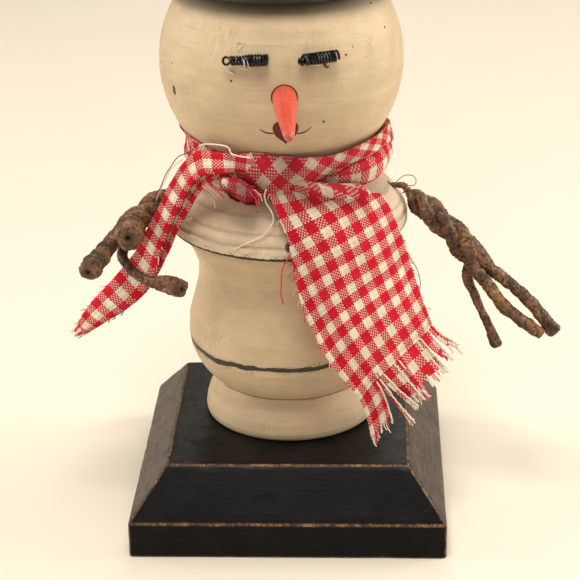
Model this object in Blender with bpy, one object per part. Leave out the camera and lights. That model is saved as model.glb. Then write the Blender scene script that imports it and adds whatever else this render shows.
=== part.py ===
"""Wooden snowman figure: turned body on a chamfered base, ball head, top hat,
tied cloth scarf and two bendable wrapped-wire arms.

Metres, +Z up.  The origin is the centre of the base's underside, the front
faces -Y, and left and right are those of somebody looking at the front.
"""
import math

import bmesh
import bpy
from mathutils import Matrix, Vector

MM = 0.001
GAP = 0.3 * MM

# Square base with four wide chamfers
BASE_WIDTH = 100.0 * MM
BASE_SIDE_HEIGHT = 11.9 * MM
BASE_HEIGHT = 26.9 * MM
BASE_CHAMFER_INSET = 11.8 * MM
BASE_EDGE_ROUND = 0.9 * MM

# Turned body, whose axis stands a little behind the middle of the base
BODY_X = -0.35 * MM
BODY_Y = 5.12 * MM
FOOT_RADIUS = 28.1 * MM
BULGE_RADIUS = 33.2 * MM
WAIST_RADIUS = 29.2 * MM
RIM_RADIUS = 38.3 * MM
RIM_Z = 93.8 * MM
SHOULDER_TOP_Z = 111.7 * MM

# Ball head with a flat above and below
HEAD_RADIUS = 38.1 * MM
HEAD_CENTRE = Vector((-1.63, 4.8, 147.5)) * MM
HEAD_BOTTOM_Z = SHOULDER_TOP_Z + GAP
HEAD_TOP_Z = 171.5 * MM

# Hat
BRIM_RADIUS = 34.0 * MM
BRIM_THICKNESS = 5.0 * MM
CROWN_RADIUS = 22.5 * MM
CROWN_HEIGHT = 25.0 * MM

# Pegs and screws
BODY_DOWEL_RADIUS = 6.0 * MM
BODY_DOWEL_Z = (84.0 * MM, 101.5 * MM)
NECK_DOWEL_RADIUS = 5.0 * MM
NECK_DOWEL_Z = (104.3 * MM, 124.0 * MM)
HAT_DOWEL_RADIUS = 4.0 * MM
HAT_DOWEL_Z = (159.0 * MM, 187.0 * MM)
SCREW_OFFSET = 14.0 * MM
SCREW_SHANK_RADIUS = 2.0 * MM
SCREW_HEAD_RADIUS = 3.9 * MM
SCREW_TIP_Z = 40.0 * MM

# Face
NOSE_BASE = Vector((0.8, -33.2, 145.7)) * MM
NOSE_TIP = Vector((3.0, -55.5, 140.3)) * MM
NOSE_RADIUS = 3.65 * MM
NOSE_PEG_LENGTH = 8.0 * MM
EYE_COIL_RADIUS = 1.5 * MM
EYE_WIRE_RADIUS = 0.32 * MM
EYE_COIL_PITCH = 0.92 * MM
BUTTON_RADIUS = 1.45 * MM
BUTTON_CENTRE = Vector((1.9, -33.4, 98.4)) * MM

# Arms: a wire in a drilled hole, then three wrapped strands twisted together
ARM_HOLE_Z = 104.8 * MM
ARM_HOLE_DEPTH = 14.0 * MM
ARM_WIRE_RADIUS = 0.9 * MM
ARM_WIRE_LENGTH = 18.0 * MM
ARM_WIRE_OUT = 36.9 * MM
ARM_CORE_RADIUS = 0.34 * MM
STRAND_RADIUS = 1.55 * MM
STRAND_OFFSET = 2.25 * MM
ROOT_STRAND_RADIUS = 0.8 * MM
ROOT_STRAND_OFFSET = 1.55 * MM
TRUNK_TWISTS = 1.25

# Scarf
CLOTH_THICKNESS = 1.2 * MM
WRAP_INNER_RADIUS = 21.0 * MM

LATHE_SIDES = 40
SMALL_SIDES = 20
PI2 = 2 * math.pi

# Surface finishes: colour, roughness, metallic
FINISHES = {
    "cream_paint": ((0.62, 0.52, 0.36), 0.62, 0.0),
    "black_paint": ((0.028, 0.025, 0.022), 0.5, 0.0),
    "hat_gloss_black": ((0.012, 0.012, 0.013), 0.14, 0.0),
    "orange_paint": ((0.80, 0.16, 0.06), 0.35, 0.0),
    "black_wire": ((0.015, 0.015, 0.016), 0.3, 0.6),
    "bead_black": ((0.01, 0.01, 0.01), 0.25, 0.0),
    "twig_wrap": ((0.16, 0.075, 0.032), 0.5, 0.0),
    "arm_wire": ((0.10, 0.07, 0.05), 0.45, 0.7),
    "gingham": ((0.66, 0.10, 0.11), 0.85, 0.0),
    "bare_wood": ((0.63, 0.45, 0.26), 0.7, 0.0),
    "screw_steel": ((0.55, 0.55, 0.56), 0.35, 1.0),
}


def clear_scene():
    """Remove every object that the file opened with."""
    for thing in list(bpy.data.objects):
        bpy.data.objects.remove(thing, do_unlink=True)


def finish(name):
    """Return the material of this name, made on its first use."""
    found = bpy.data.materials.get(name)
    if found:
        return found
    colour, roughness, metallic = FINISHES[name]
    made = bpy.data.materials.new(name)
    made.use_nodes = True
    shader = made.node_tree.nodes["Principled BSDF"]
    shader.inputs["Base Color"].default_value = (*colour, 1.0)
    shader.inputs["Roughness"].default_value = roughness
    shader.inputs["Metallic"].default_value = metallic
    return made


def add_object(name, bm, finish_name, location=(0, 0, 0), parent=None):
    """Turn a bmesh into an object at location, with faces out and round sides smooth."""
    bmesh.ops.recalc_face_normals(bm, faces=bm.faces)
    mesh = bpy.data.meshes.new(name)
    bm.to_mesh(mesh)
    bm.free()
    mesh.shade_smooth()
    mesh.set_sharp_from_angle(angle=math.radians(35))
    mesh.materials.append(finish(finish_name))
    made = bpy.data.objects.new(name, mesh)
    bpy.context.scene.collection.objects.link(made)
    made.location = location
    if parent:
        made.parent = parent
        made.matrix_parent_inverse = parent.matrix_world.inverted()
    return made


def lathe(bm, section, sides=LATHE_SIDES):
    """Turn a closed section of (radius, z) points around Z; radius 0 is one point."""
    rings = []
    for radius, z in section:
        count = 1 if radius == 0 else sides
        ring = [bm.verts.new((radius * math.cos(PI2 * k / sides),
                              radius * math.sin(PI2 * k / sides), z))
                for k in range(count)]
        rings.append(ring)
    on_axis = section[0][0] == 0 and section[-1][0] == 0
    pairs = list(zip(rings, rings[1:]))
    if not on_axis:
        pairs.append((rings[-1], rings[0]))
    for low, high in pairs:
        for k in range(sides):
            after = (k + 1) % sides
            if len(low) == 1:
                bm.faces.new((low[0], high[after], high[k]))
            elif len(high) == 1:
                bm.faces.new((low[k], low[after], high[0]))
            else:
                bm.faces.new((low[k], low[after], high[after], high[k]))


def turned(name, section, finish_name, location=(0, 0, 0), sides=LATHE_SIDES):
    """One turned piece, standing on its own axis at location."""
    bm = bmesh.new()
    lathe(bm, section, sides)
    return add_object(name, bm, finish_name, location)


def arc(radius, height, z_middle, start, end, steps):
    """Points (r, z) on an ellipse's right side, from start to end in degrees."""
    points = []
    for k in range(steps + 1):
        turn = math.radians(start + (end - start) * k / steps)
        points.append((radius * math.cos(turn), z_middle + height * math.sin(turn)))
    return points


def drill(target, name, section, place):
    """Cut a turned cutter out of target with a Boolean; place is a matrix."""
    bm = bmesh.new()
    lathe(bm, section, SMALL_SIDES)
    bmesh.ops.transform(bm, matrix=place, verts=bm.verts)
    cutter = add_object(name, bm, "bare_wood")
    cutter.hide_render = True
    cutter.display_type = "WIRE"
    cut = target.modifiers.new(name, "BOOLEAN")
    cut.operation = "DIFFERENCE"
    cut.solver = "EXACT"
    cut.object = cutter


def along(start, direction):
    """Matrix that stands +Z of a turned shape along direction, from start."""
    turn = Vector(direction).normalized().to_track_quat("Z", "Y").to_matrix().to_4x4()
    return Matrix.Translation(start) @ turn


def spline(points, count):
    """Count points on a smooth Catmull-Rom curve through the given points."""
    knots = [Vector(p) for p in points]
    knots = [2 * knots[0] - knots[1]] + knots + [2 * knots[-1] - knots[-2]]
    spans = len(knots) - 3
    curve = []
    for k in range(count):
        place = spans * k / (count - 1)
        span = min(int(place), spans - 1)
        t = place - span
        a, b, c, d = knots[span:span + 4]
        curve.append(0.5 * (2 * b + (c - a) * t + (2 * a - 5 * b + 4 * c - d) * t ** 2
                            + (3 * b - a - 3 * c + d) * t ** 3))
    return curve


def frames(points):
    """Tangent, side and up at each point, carried along without twisting."""
    result = []
    side = None
    for k, point in enumerate(points):
        ahead = points[min(k + 1, len(points) - 1)]
        behind = points[max(k - 1, 0)]
        tangent = (ahead - behind).normalized()
        if side is None:
            side = tangent.cross(Vector((0, 1, 0.2))).normalized()
        side = (side - tangent * side.dot(tangent)).normalized()
        result.append((tangent, side, tangent.cross(side)))
    return result


def tube(bm, points, radii, sides):
    """A closed tube along points, its own radius at each one, flat at both ends."""
    rings = []
    for point, radius, (_, side, up) in zip(points, radii, frames(points)):
        rings.append([bm.verts.new(point + radius * (side * math.cos(PI2 * k / sides)
                                                     + up * math.sin(PI2 * k / sides)))
                      for k in range(sides)])
    for low, high in zip(rings, rings[1:]):
        for k in range(sides):
            after = (k + 1) % sides
            bm.faces.new((low[k], low[after], high[after], high[k]))
    bm.faces.new(reversed(rings[0]))
    bm.faces.new(rings[-1])


def make_base():
    """Chamfered square block with two countersunk screw holes from below."""
    half = BASE_WIDTH / 2
    top = half - BASE_CHAMFER_INSET
    bm = bmesh.new()
    levels = [(half, 0.0), (half, BASE_SIDE_HEIGHT), (top, BASE_HEIGHT)]
    rings = [[bm.verts.new((x * reach, y * reach, z))
              for x, y in ((1, 1), (-1, 1), (-1, -1), (1, -1))] for reach, z in levels]
    for low, high in zip(rings, rings[1:]):
        for k in range(4):
            after = (k + 1) % 4
            bm.faces.new((low[k], low[after], high[after], high[k]))
    bm.faces.new(reversed(rings[0]))
    bm.faces.new(rings[-1])
    bmesh.ops.bevel(bm, geom=list(bm.edges), offset=BASE_EDGE_ROUND, segments=2,
                    profile=0.5, affect="EDGES")
    base = add_object("base_block", bm, "black_paint")
    hole = SCREW_SHANK_RADIUS + 0.4 * MM
    sink = SCREW_HEAD_RADIUS + 0.4 * MM
    cutter = [(0, -MM), (sink, -MM), (sink, 0.8 * MM), (hole, 3.6 * MM),
              (hole, BASE_HEIGHT + MM), (0, BASE_HEIGHT + MM)]
    for name, x in zip(("left", "right"), screw_places()):
        drill(base, "screw_hole_" + name, cutter, Matrix.Translation((x, BODY_Y, 0)))


def screw_places():
    """X of the two base screws, either side of the body's axis."""
    return (BODY_X - SCREW_OFFSET, BODY_X + SCREW_OFFSET)


def make_screws():
    """Two wood screws, heads below, tapering to a point inside the body."""
    section = [(0, 2.4 * MM), (1.1 * MM, 0.9 * MM), (SCREW_HEAD_RADIUS, 0.9 * MM),
               (SCREW_SHANK_RADIUS, 3.4 * MM), (SCREW_SHANK_RADIUS, SCREW_TIP_Z - 5 * MM),
               (0, SCREW_TIP_Z)]
    for name, x in zip(("left", "right"), screw_places()):
        turned("base_screw_" + name, section, "screw_steel", (x, BODY_Y, 0), SMALL_SIDES)


def make_lower_body():
    """Turned foot, groove, round belly, waist and flare, with a dowel hole above."""
    hole = BODY_DOWEL_RADIUS + GAP
    foot = BASE_HEIGHT + GAP
    section = [(0, foot), (FOOT_RADIUS - 0.6 * MM, foot), (FOOT_RADIUS, foot + 0.6 * MM),
               (28.3 * MM, 29.5 * MM), (27.8 * MM, 32.5 * MM), (26.8 * MM, 35.5 * MM),
               (25.3 * MM, 38.5 * MM), (24.7 * MM, 40.4 * MM), (26.6 * MM, 42.2 * MM),
               (29.1 * MM, 45 * MM), (31.2 * MM, 48.5 * MM), (32.6 * MM, 52 * MM),
               (BULGE_RADIUS, 56 * MM), (32.9 * MM, 62 * MM), (31.2 * MM, 68 * MM),
               (29.6 * MM, 74 * MM), (WAIST_RADIUS, 80 * MM), (31.2 * MM, 86 * MM),
               (33.2 * MM, 89.3 * MM), (35.6 * MM, 92 * MM), (36.6 * MM, RIM_Z - GAP),
               (hole, RIM_Z - GAP), (hole, BODY_DOWEL_Z[0] - GAP), (0, BODY_DOWEL_Z[0] - GAP)]
    body = turned("lower_body", section, "cream_paint", (BODY_X, BODY_Y, 0))
    pilot = SCREW_SHANK_RADIUS + 0.3 * MM
    cutter = [(0, foot - MM), (pilot, foot - MM), (pilot, SCREW_TIP_Z + MM), (0, SCREW_TIP_Z + MM)]
    for name, x in zip(("left", "right"), screw_places()):
        drill(body, "pilot_hole_" + name, cutter, Matrix.Translation((x, BODY_Y, 0)))


def make_shoulder():
    """Turned shoulder piece with a rim band, coves, and holes for pegs, arms and button."""
    low_hole = BODY_DOWEL_RADIUS + GAP
    high_hole = NECK_DOWEL_RADIUS + GAP
    section = [(0, BODY_DOWEL_Z[1] + GAP), (low_hole, BODY_DOWEL_Z[1] + GAP), (low_hole, RIM_Z),
               (RIM_RADIUS - 0.3 * MM, RIM_Z), (RIM_RADIUS, RIM_Z + 0.4 * MM),
               (RIM_RADIUS, 97.0 * MM), (37.5 * MM, 97.7 * MM), (37.5 * MM, 99.4 * MM),
               (36.2 * MM, 101.5 * MM), (34.6 * MM, 103.5 * MM), (32.2 * MM, 105.8 * MM),
               (29.5 * MM, 107.6 * MM), (26.4 * MM, 109.2 * MM), (22.4 * MM, 110.6 * MM),
               (18.0 * MM, SHOULDER_TOP_Z), (high_hole, SHOULDER_TOP_Z),
               (high_hole, NECK_DOWEL_Z[0] - GAP), (0, NECK_DOWEL_Z[0] - GAP)]
    shoulder = turned("shoulder_cap", section, "cream_paint", (BODY_X, BODY_Y, 0))
    hole = ARM_WIRE_RADIUS + 0.4 * MM
    cutter = [(0, 0), (hole, 0), (hole, 2 * ARM_HOLE_DEPTH + 4 * MM), (0, 2 * ARM_HOLE_DEPTH + 4 * MM)]
    for name, way in (("left", -1), ("right", 1)):
        start = Vector((BODY_X + way * (ARM_WIRE_OUT - ARM_WIRE_LENGTH - MM), BODY_Y, ARM_HOLE_Z))
        drill(shoulder, "arm_hole_" + name, cutter, along(start, (way, 0, 0)))
    seat = BUTTON_RADIUS + 0.3 * MM
    cutter = [(0, -1.2 * MM), (seat, -1.2 * MM), (seat, 6 * MM), (0, 6 * MM)]
    drill(shoulder, "button_seat", cutter, along(BUTTON_CENTRE + Vector((0, MM, 0)), (0, -1, 0)))


def make_head():
    """Ball head, flat above and below, with holes for its two dowels and the nose."""
    high_hole = HAT_DOWEL_RADIUS + GAP
    middle = HEAD_CENTRE.z
    start = math.degrees(math.asin((HEAD_BOTTOM_Z - middle) / HEAD_RADIUS))
    end = math.degrees(math.asin((HEAD_TOP_Z - middle) / HEAD_RADIUS))
    ball = arc(HEAD_RADIUS, HEAD_RADIUS, middle, start, end, 18)
    section = [(0, HEAD_BOTTOM_Z)] + ball
    section += [(high_hole, HEAD_TOP_Z), (high_hole, HAT_DOWEL_Z[0] - GAP),
                (0, HAT_DOWEL_Z[0] - GAP)]
    head = turned("head_ball", section, "cream_paint", (HEAD_CENTRE.x, HEAD_CENTRE.y, 0), 44)
    hole = NECK_DOWEL_RADIUS + GAP
    mouth = HEAD_BOTTOM_Z - MM
    end = NECK_DOWEL_Z[1] + GAP
    cutter = [(0, mouth), (hole, mouth), (hole, end), (0, end)]
    drill(head, "neck_hole", cutter, Matrix.Translation((BODY_X, BODY_Y, 0)))
    hole = NOSE_RADIUS + GAP
    deep = NOSE_PEG_LENGTH + MM
    cutter = [(0, -deep), (hole, -deep), (hole, 6 * MM), (0, 6 * MM)]
    drill(head, "nose_hole", cutter, along(NOSE_BASE, NOSE_TIP - NOSE_BASE))


def make_dowels():
    """Plain wooden pegs with small end chamfers inside body, neck and hat."""
    pegs = [("body_dowel", BODY_DOWEL_RADIUS, BODY_DOWEL_Z, BODY_X, BODY_Y),
            ("neck_dowel", NECK_DOWEL_RADIUS, NECK_DOWEL_Z, BODY_X, BODY_Y),
            ("hat_dowel", HAT_DOWEL_RADIUS, HAT_DOWEL_Z, HEAD_CENTRE.x, HEAD_CENTRE.y)]
    for name, radius, (low, high), x, y in pegs:
        edge = 0.8 * MM
        section = [(0, low), (radius - edge, low), (radius, low + edge),
                   (radius, high - edge), (radius - edge, high), (0, high)]
        turned(name, section, "bare_wood", (x, y, 0), SMALL_SIDES)


def make_hat():
    """Round brim and slightly tapered crown, glued together over one dowel."""
    hole = HAT_DOWEL_RADIUS + GAP
    low = HEAD_TOP_Z + GAP
    high = low + BRIM_THICKNESS
    edge = BRIM_THICKNESS / 2
    rim = arc(edge, edge, low + edge, -80, 80, 6)
    section = [(hole, low)]
    section += [(BRIM_RADIUS - edge + r, z) for r, z in rim]
    section += [(hole, high)]
    turned("hat_brim", section, "hat_gloss_black", (HEAD_CENTRE.x, HEAD_CENTRE.y, 0))
    foot = high + GAP
    top = foot + CROWN_HEIGHT
    peg_end = HAT_DOWEL_Z[1] + GAP
    section = [(0, peg_end), (hole, peg_end), (hole, foot), (CROWN_RADIUS, foot),
               (CROWN_RADIUS - 1.2 * MM, top - 1.6 * MM), (CROWN_RADIUS - 1.8 * MM, top - 0.5 * MM),
               (CROWN_RADIUS - 3.0 * MM, top), (0, top)]
    turned("hat_crown", section, "hat_gloss_black", (HEAD_CENTRE.x, HEAD_CENTRE.y, 0))


def make_nose():
    """Blunt carrot-shaped peg, its straight end set into the head."""
    length = (NOSE_TIP - NOSE_BASE).length
    section = [(0, -NOSE_PEG_LENGTH), (NOSE_RADIUS, -NOSE_PEG_LENGTH), (NOSE_RADIUS, 0)]
    for reach, radius in ((0.25, 3.3), (0.5, 2.75), (0.75, 2.1), (0.94, 1.55), (1.0, 0.9)):
        section.append((radius * MM, reach * length))
    section.append((0, length + 0.3 * MM))
    bm = bmesh.new()
    lathe(bm, section, SMALL_SIDES)
    bmesh.ops.transform(bm, matrix=along(NOSE_BASE, NOSE_TIP - NOSE_BASE), verts=bm.verts)
    add_object("carrot_nose", bm, "orange_paint")


def make_eye(name, start, end, loop_way):
    """Close wire coil from start to end, with a flat little loop at one end."""
    start = Vector(start) * MM
    end = Vector(end) * MM
    length = (end - start).length
    turns = length / EYE_COIL_PITCH
    steps = 10
    points = []
    for k in range(int(turns * steps) + 1):
        turn = PI2 * k / steps
        points.append(Vector((EYE_COIL_RADIUS * math.cos(turn), EYE_COIL_RADIUS * math.sin(turn),
                              EYE_COIL_PITCH * k / steps)))
    loop_radius = 1.0 * MM
    loop_middle = Vector((EYE_COIL_RADIUS - loop_radius, 0, -1.6 * MM))
    loop = []
    for k in range(1, 10):
        turn = PI2 * k / 12
        loop.append(loop_middle + Vector((loop_radius * math.cos(turn), 0,
                                          -loop_radius * math.sin(turn) * loop_way)))
    points = list(reversed(loop)) + points
    place = along(start, end - start)
    bm = bmesh.new()
    tube(bm, points, [EYE_WIRE_RADIUS] * len(points), 5)
    bmesh.ops.transform(bm, matrix=place, verts=bm.verts)
    add_object(name, bm, "black_wire")


def make_button():
    """Small domed bead, its peg set into the shoulder rim."""
    bm = bmesh.new()
    dome = arc(BUTTON_RADIUS, BUTTON_RADIUS, 0.4 * MM, 0, 75, 4)
    section = [(0, -1.8 * MM), (BUTTON_RADIUS, -1.8 * MM)] + dome + [(0, 0.4 * MM + BUTTON_RADIUS)]
    lathe(bm, section, 16)
    bmesh.ops.transform(bm, matrix=along(BUTTON_CENTRE, (0, -1, 0)), verts=bm.verts)
    add_object("coal_button", bm, "bead_black")


def strand_path(trunk, turn_at_fork, finger):
    """Twist round the trunk's line to the fork, then follow the finger's own points."""
    path = []
    last = len(trunk) - 1
    for k, (point, (_, side, up)) in enumerate(zip(trunk, frames(trunk))):
        reach = k / last
        grown = min(1.0, reach / 0.2)
        offset = ROOT_STRAND_OFFSET + (STRAND_OFFSET - ROOT_STRAND_OFFSET) * grown
        turn = turn_at_fork + PI2 * TRUNK_TWISTS * (reach - 1)
        path.append(point + offset * (side * math.cos(turn) + up * math.sin(turn)))
    return path + spline([path[-1]] + finger, 12)[1:]


def make_strand(name, trunk, turn_at_fork, finger, radius, parent):
    """One wrapped strand: thin at the root, full in the twist, its own size as a finger."""
    points = strand_path(trunk, turn_at_fork, [Vector(p) * MM for p in finger])
    radii = []
    for k in range(len(points)):
        if k < len(trunk):
            grown = min(1.0, k / (0.2 * (len(trunk) - 1)))
            radii.append(ROOT_STRAND_RADIUS + (STRAND_RADIUS - ROOT_STRAND_RADIUS) * grown)
        else:
            blend = min(1.0, (k - len(trunk) + 1) / 5)
            radii.append(STRAND_RADIUS + (radius * MM - STRAND_RADIUS) * blend)
    radii[-1] *= 0.6
    points[-2] = points[-1].lerp(points[-2], 0.6)
    bm = bmesh.new()
    tube(bm, points, radii, 8)
    bmesh.ops.translate(bm, vec=-parent.location, verts=bm.verts)
    made = add_object(name, bm, "twig_wrap", (0, 0, 0))
    made.parent = parent


def make_arm(side, way, trunk_points, strands):
    """Wire in the shoulder, joint empty at its bare neck, core wire and three strands."""
    stem_end = Vector((BODY_X + way * ARM_WIRE_OUT, BODY_Y, ARM_HOLE_Z))
    section = [(0, 0), (ARM_WIRE_RADIUS, 0), (ARM_WIRE_RADIUS, ARM_WIRE_LENGTH), (0, ARM_WIRE_LENGTH)]
    bm = bmesh.new()
    lathe(bm, section, 12)
    start = stem_end - Vector((way * ARM_WIRE_LENGTH, 0, 0))
    bmesh.ops.transform(bm, matrix=along((0, 0, 0), (way, 0, 0)), verts=bm.verts)
    add_object(side + "_arm_stem", bm, "arm_wire", start)
    neck = bpy.data.objects.new(side + "_arm_neck", None)
    bpy.context.scene.collection.objects.link(neck)
    neck.location = stem_end + Vector((way * 0.7, 0, -0.7)) * MM
    trunk = spline([Vector(p) * MM for p in trunk_points], 18)
    core = trunk[3:-1]
    bm = bmesh.new()
    tube(bm, core, [ARM_CORE_RADIUS] * len(core), 6)
    bmesh.ops.translate(bm, vec=-neck.location, verts=bm.verts)
    made = add_object(side + "_arm_core_wire", bm, "arm_wire")
    made.parent = neck
    for name, turn, radius, finger in strands:
        make_strand(side + "_arm_" + name, trunk, math.radians(turn), finger, radius, neck)


def make_scarf_wrap():
    """Cloth wound round the neck, filling the space between shoulder and ball."""
    def under_head(radius):
        return HEAD_CENTRE.z - math.sqrt(HEAD_RADIUS ** 2 - radius ** 2) - 0.8 * MM

    section = [(WRAP_INNER_RADIUS, 112.4 * MM)]
    section += [(r * MM, under_head(r * MM)) for r in (21, 24, 27, 29.5, 31.5)]
    section += [(33.2 * MM, 123.2 * MM), (34.2 * MM, 119.5 * MM), (33.8 * MM, 114.5 * MM),
                (32.2 * MM, 110.4 * MM), (30.0 * MM, 108.9 * MM), (26.8 * MM, 110.4 * MM)]
    turned("scarf_wrap", section, "gingham", (HEAD_CENTRE.x, HEAD_CENTRE.y, 0))


def make_scarf_knot():
    """Lump where the two ends cross and tie, at the front left of the neck."""
    bm = bmesh.new()
    bmesh.ops.create_uvsphere(bm, u_segments=14, v_segments=8, radius=1.0)
    bmesh.ops.scale(bm, vec=Vector((5.2, 2.6, 4.0)) * MM, verts=bm.verts)
    bmesh.ops.rotate(bm, matrix=Matrix.Rotation(math.radians(-16), 3, "Z"), verts=bm.verts)
    add_object("scarf_knot", bm, "gingham", Vector((-11.8, -33.2, 114.5)) * MM)


def make_tail(name, left_edge, right_edge):
    """Closed slab of cloth between two edges, bowed round the body's axis."""
    rows = 16
    columns = 5
    left = spline([Vector(p) * MM for p in left_edge], rows)
    right = spline([Vector(p) * MM for p in right_edge], rows)
    axis = Vector((BODY_X, BODY_Y, 0))
    middle = []
    for a, b in zip(left, right):
        polar = []
        for p in (a, b):
            out = p - axis
            polar.append((math.atan2(out.x, -out.y), math.hypot(out.x, out.y), p.z))
        row = []
        for c in range(columns):
            t = c / (columns - 1)
            turn, reach, z = [u + (v - u) * t for u, v in zip(*polar)]
            row.append(axis + Vector((reach * math.sin(turn), -reach * math.cos(turn), z)))
        middle.append(row)
    bm = bmesh.new()
    layers = []
    for way in (0.5, -0.5):
        layer = []
        for r in range(rows):
            line = []
            for c in range(columns):
                down = middle[min(r + 1, rows - 1)][c] - middle[max(r - 1, 0)][c]
                over = middle[r][min(c + 1, columns - 1)] - middle[r][max(c - 1, 0)]
                normal = down.cross(over).normalized()
                line.append(bm.verts.new(middle[r][c] + way * CLOTH_THICKNESS * normal))
            layer.append(line)
        layers.append(layer)
    front, back = layers
    for r in range(rows - 1):
        for c in range(columns - 1):
            bm.faces.new((front[r][c], front[r][c + 1], front[r + 1][c + 1], front[r + 1][c]))
            bm.faces.new((back[r][c], back[r + 1][c], back[r + 1][c + 1], back[r][c + 1]))
        for c in (0, columns - 1):
            bm.faces.new((front[r][c], front[r + 1][c], back[r + 1][c], back[r][c]))
    for c in range(columns - 1):
        for r in (0, rows - 1):
            bm.faces.new((front[r][c], back[r][c], back[r][c + 1], front[r][c + 1]))
    add_object(name, bm, "gingham")


def make_snowman():
    """Every sub-part, from the base up."""
    make_base()
    make_screws()
    make_lower_body()
    make_shoulder()
    make_head()
    make_dowels()
    make_hat()
    make_nose()
    make_eye("left_eye_coil", (-14.8, -32.4, 156.8), (-3.8, -34.6, 157.6), 1)
    make_eye("right_eye_coil", (6.6, -34.0, 157.4), (16.3, -30.2, 157.6), 1)
    make_button()
    make_arm("left", -1,
             [(-38.7, 4.6, 102.4), (-42.0, 0.5, 100.2), (-45.3, -7, 99.2), (-47.6, -15, 99.6),
              (-48.4, -23, 100.4)],
             [("front_strand", 110, 2.0, [(-47.2, -29, 101.8), (-46.2, -34, 102.3), (-45.8, -38, 102.6)]),
              ("outer_strand", 230, 2.7, [(-52.6, -30, 99.4), (-54.5, -38, 98.4), (-57.0, -48, 98.8)]),
              ("thin_strand", 350, 1.6, [(-50.3, -26.5, 93.2), (-49.5, -29, 91.0), (-44.0, -31.5, 88.2),
                                         (-38.0, -34, 87.2), (-32.0, -37, 87.7)])])
    make_arm("right", 1,
             [(38.5, 4.6, 102.3), (42.4, 3.2, 99.0), (48.5, 1.0, 94.0), (55.0, -1.0, 88.0),
              (59.7, -2.5, 82.0)],
             [("upper_strand", 0, 2.2, [(64.5, -3.5, 79.5), (70.0, -5, 75.5), (77.0, -7, 69.5),
                                          (84.6, -9, 60.4)]),
              ("lower_strand", 120, 2.1, [(62.8, -7.0, 76.4), (67.0, -8, 70.5), (72.5, -9.5, 65.5),
                                          (80.2, -11.5, 60.5)]),
              ("thin_strand", 240, 1.5, [(57.2, -1.8, 76.5), (59.6, -4, 70.5), (63.0, -7, 63.5),
                                         (66.6, -9, 55.5)])])
    make_scarf_wrap()
    make_scarf_knot()
    make_tail("scarf_left_tail",
              [(-29.5, -19.5, 121.0), (-35.0, -16.8, 115.0), (-39.0, -16, 107.0), (-42.8, -15.2, 98.0),
               (-48.4, -15, 88.8), (-54.8, -14, 81.3), (-65.3, -12, 70.0), (-68.9, -11, 60.5)],
              [(-27.0, -29.5, 117.5), (-29.4, -28.5, 113.3), (-33.0, -26.5, 105.1), (-35.5, -25, 99.5),
               (-39.6, -23, 89.7), (-44.7, -20, 78.3), (-58.5, -14, 65.0), (-67.0, -12, 58.4)])
    make_tail("scarf_right_tail",
              [(-4.0, -31.0, 112.2), (-0.5, -33.5, 107.0), (1.9, -35.9, 99.5), (3.1, -36.4, 91.1),
               (5.6, -36.6, 79.8), (10.8, -37.2, 69.9), (19.8, -37.2, 56.7), (28.0, -35.5, 38.0)],
              [(28.0, -18.0, 108.6), (32.8, -14.5, 104.4), (35.2, -14.2, 98.0), (37.6, -14.0, 89.0),
               (41.5, -16.0, 77.2), (44.0, -18.0, 66.2), (47.5, -19.5, 60.0), (50.0, -21.5, 51.5)])


clear_scene()
make_snowman()
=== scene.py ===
"""Looks of the wooden snowman figure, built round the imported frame.

Metres, +Z up. Left and right are those of somebody looking at the front (-Y).
"""
import math
import random

import bmesh
import bpy
import numpy as np
from mathutils import Matrix, Vector, noise
from mathutils.bvhtree import BVHTree


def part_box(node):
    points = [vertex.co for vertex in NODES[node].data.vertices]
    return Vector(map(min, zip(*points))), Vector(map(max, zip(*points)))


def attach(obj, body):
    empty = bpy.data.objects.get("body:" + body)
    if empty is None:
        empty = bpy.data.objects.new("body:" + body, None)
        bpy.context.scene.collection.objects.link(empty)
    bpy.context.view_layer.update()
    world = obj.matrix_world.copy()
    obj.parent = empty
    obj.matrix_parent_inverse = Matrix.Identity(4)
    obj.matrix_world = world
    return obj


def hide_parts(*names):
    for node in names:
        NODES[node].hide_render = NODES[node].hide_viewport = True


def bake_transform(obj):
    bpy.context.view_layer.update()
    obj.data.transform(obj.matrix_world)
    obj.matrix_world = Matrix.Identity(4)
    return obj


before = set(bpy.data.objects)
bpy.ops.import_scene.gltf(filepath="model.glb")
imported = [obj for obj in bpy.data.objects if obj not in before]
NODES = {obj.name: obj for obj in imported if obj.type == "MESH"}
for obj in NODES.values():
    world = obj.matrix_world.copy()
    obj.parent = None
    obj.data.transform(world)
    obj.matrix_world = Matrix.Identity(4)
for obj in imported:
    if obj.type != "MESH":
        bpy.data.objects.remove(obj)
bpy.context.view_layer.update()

MM = 0.001
PI2 = 2 * math.pi


# ---------------------------------------------------------------- helpers

def smooth(x, low, high):
    """0 below low, 1 above high, smooth between."""
    t = min(1.0, max(0.0, (x - low) / (high - low)))
    return t * t * (3 - 2 * t)


def mix(a, b, t):
    """The point or number that lies t of the way from a to b."""
    return a + (b - a) * t


def grain(point, size, seed=0.0):
    """Smooth noise of about -1..1 whose lumps are about size across."""
    return noise.noise(Vector(point) / size + Vector((seed * 7.3, seed * 3.1, seed * 5.7)))


def vectors(points):
    """Points given in millimetres, as vectors in metres."""
    return [Vector(p) * MM for p in points]


def catmull(knots, count):
    """Count samples of a smooth curve through knots, an array whose first index runs along it."""
    knots = np.asarray(knots, float)
    knots = np.concatenate([2 * knots[:1] - knots[1:2], knots, 2 * knots[-1:] - knots[-2:-1]])
    spans = len(knots) - 3
    place = np.linspace(0, spans, count)
    span = np.minimum(place.astype(int), spans - 1)
    t = (place - span).reshape((-1,) + (1,) * (knots.ndim - 1))
    a, b, c, d = (knots[span + k] for k in range(4))
    return 0.5 * (2 * b + (c - a) * t + (2 * a - 5 * b + 4 * c - d) * t ** 2
                  + (3 * b - a - 3 * c + d) * t ** 3)


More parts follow.
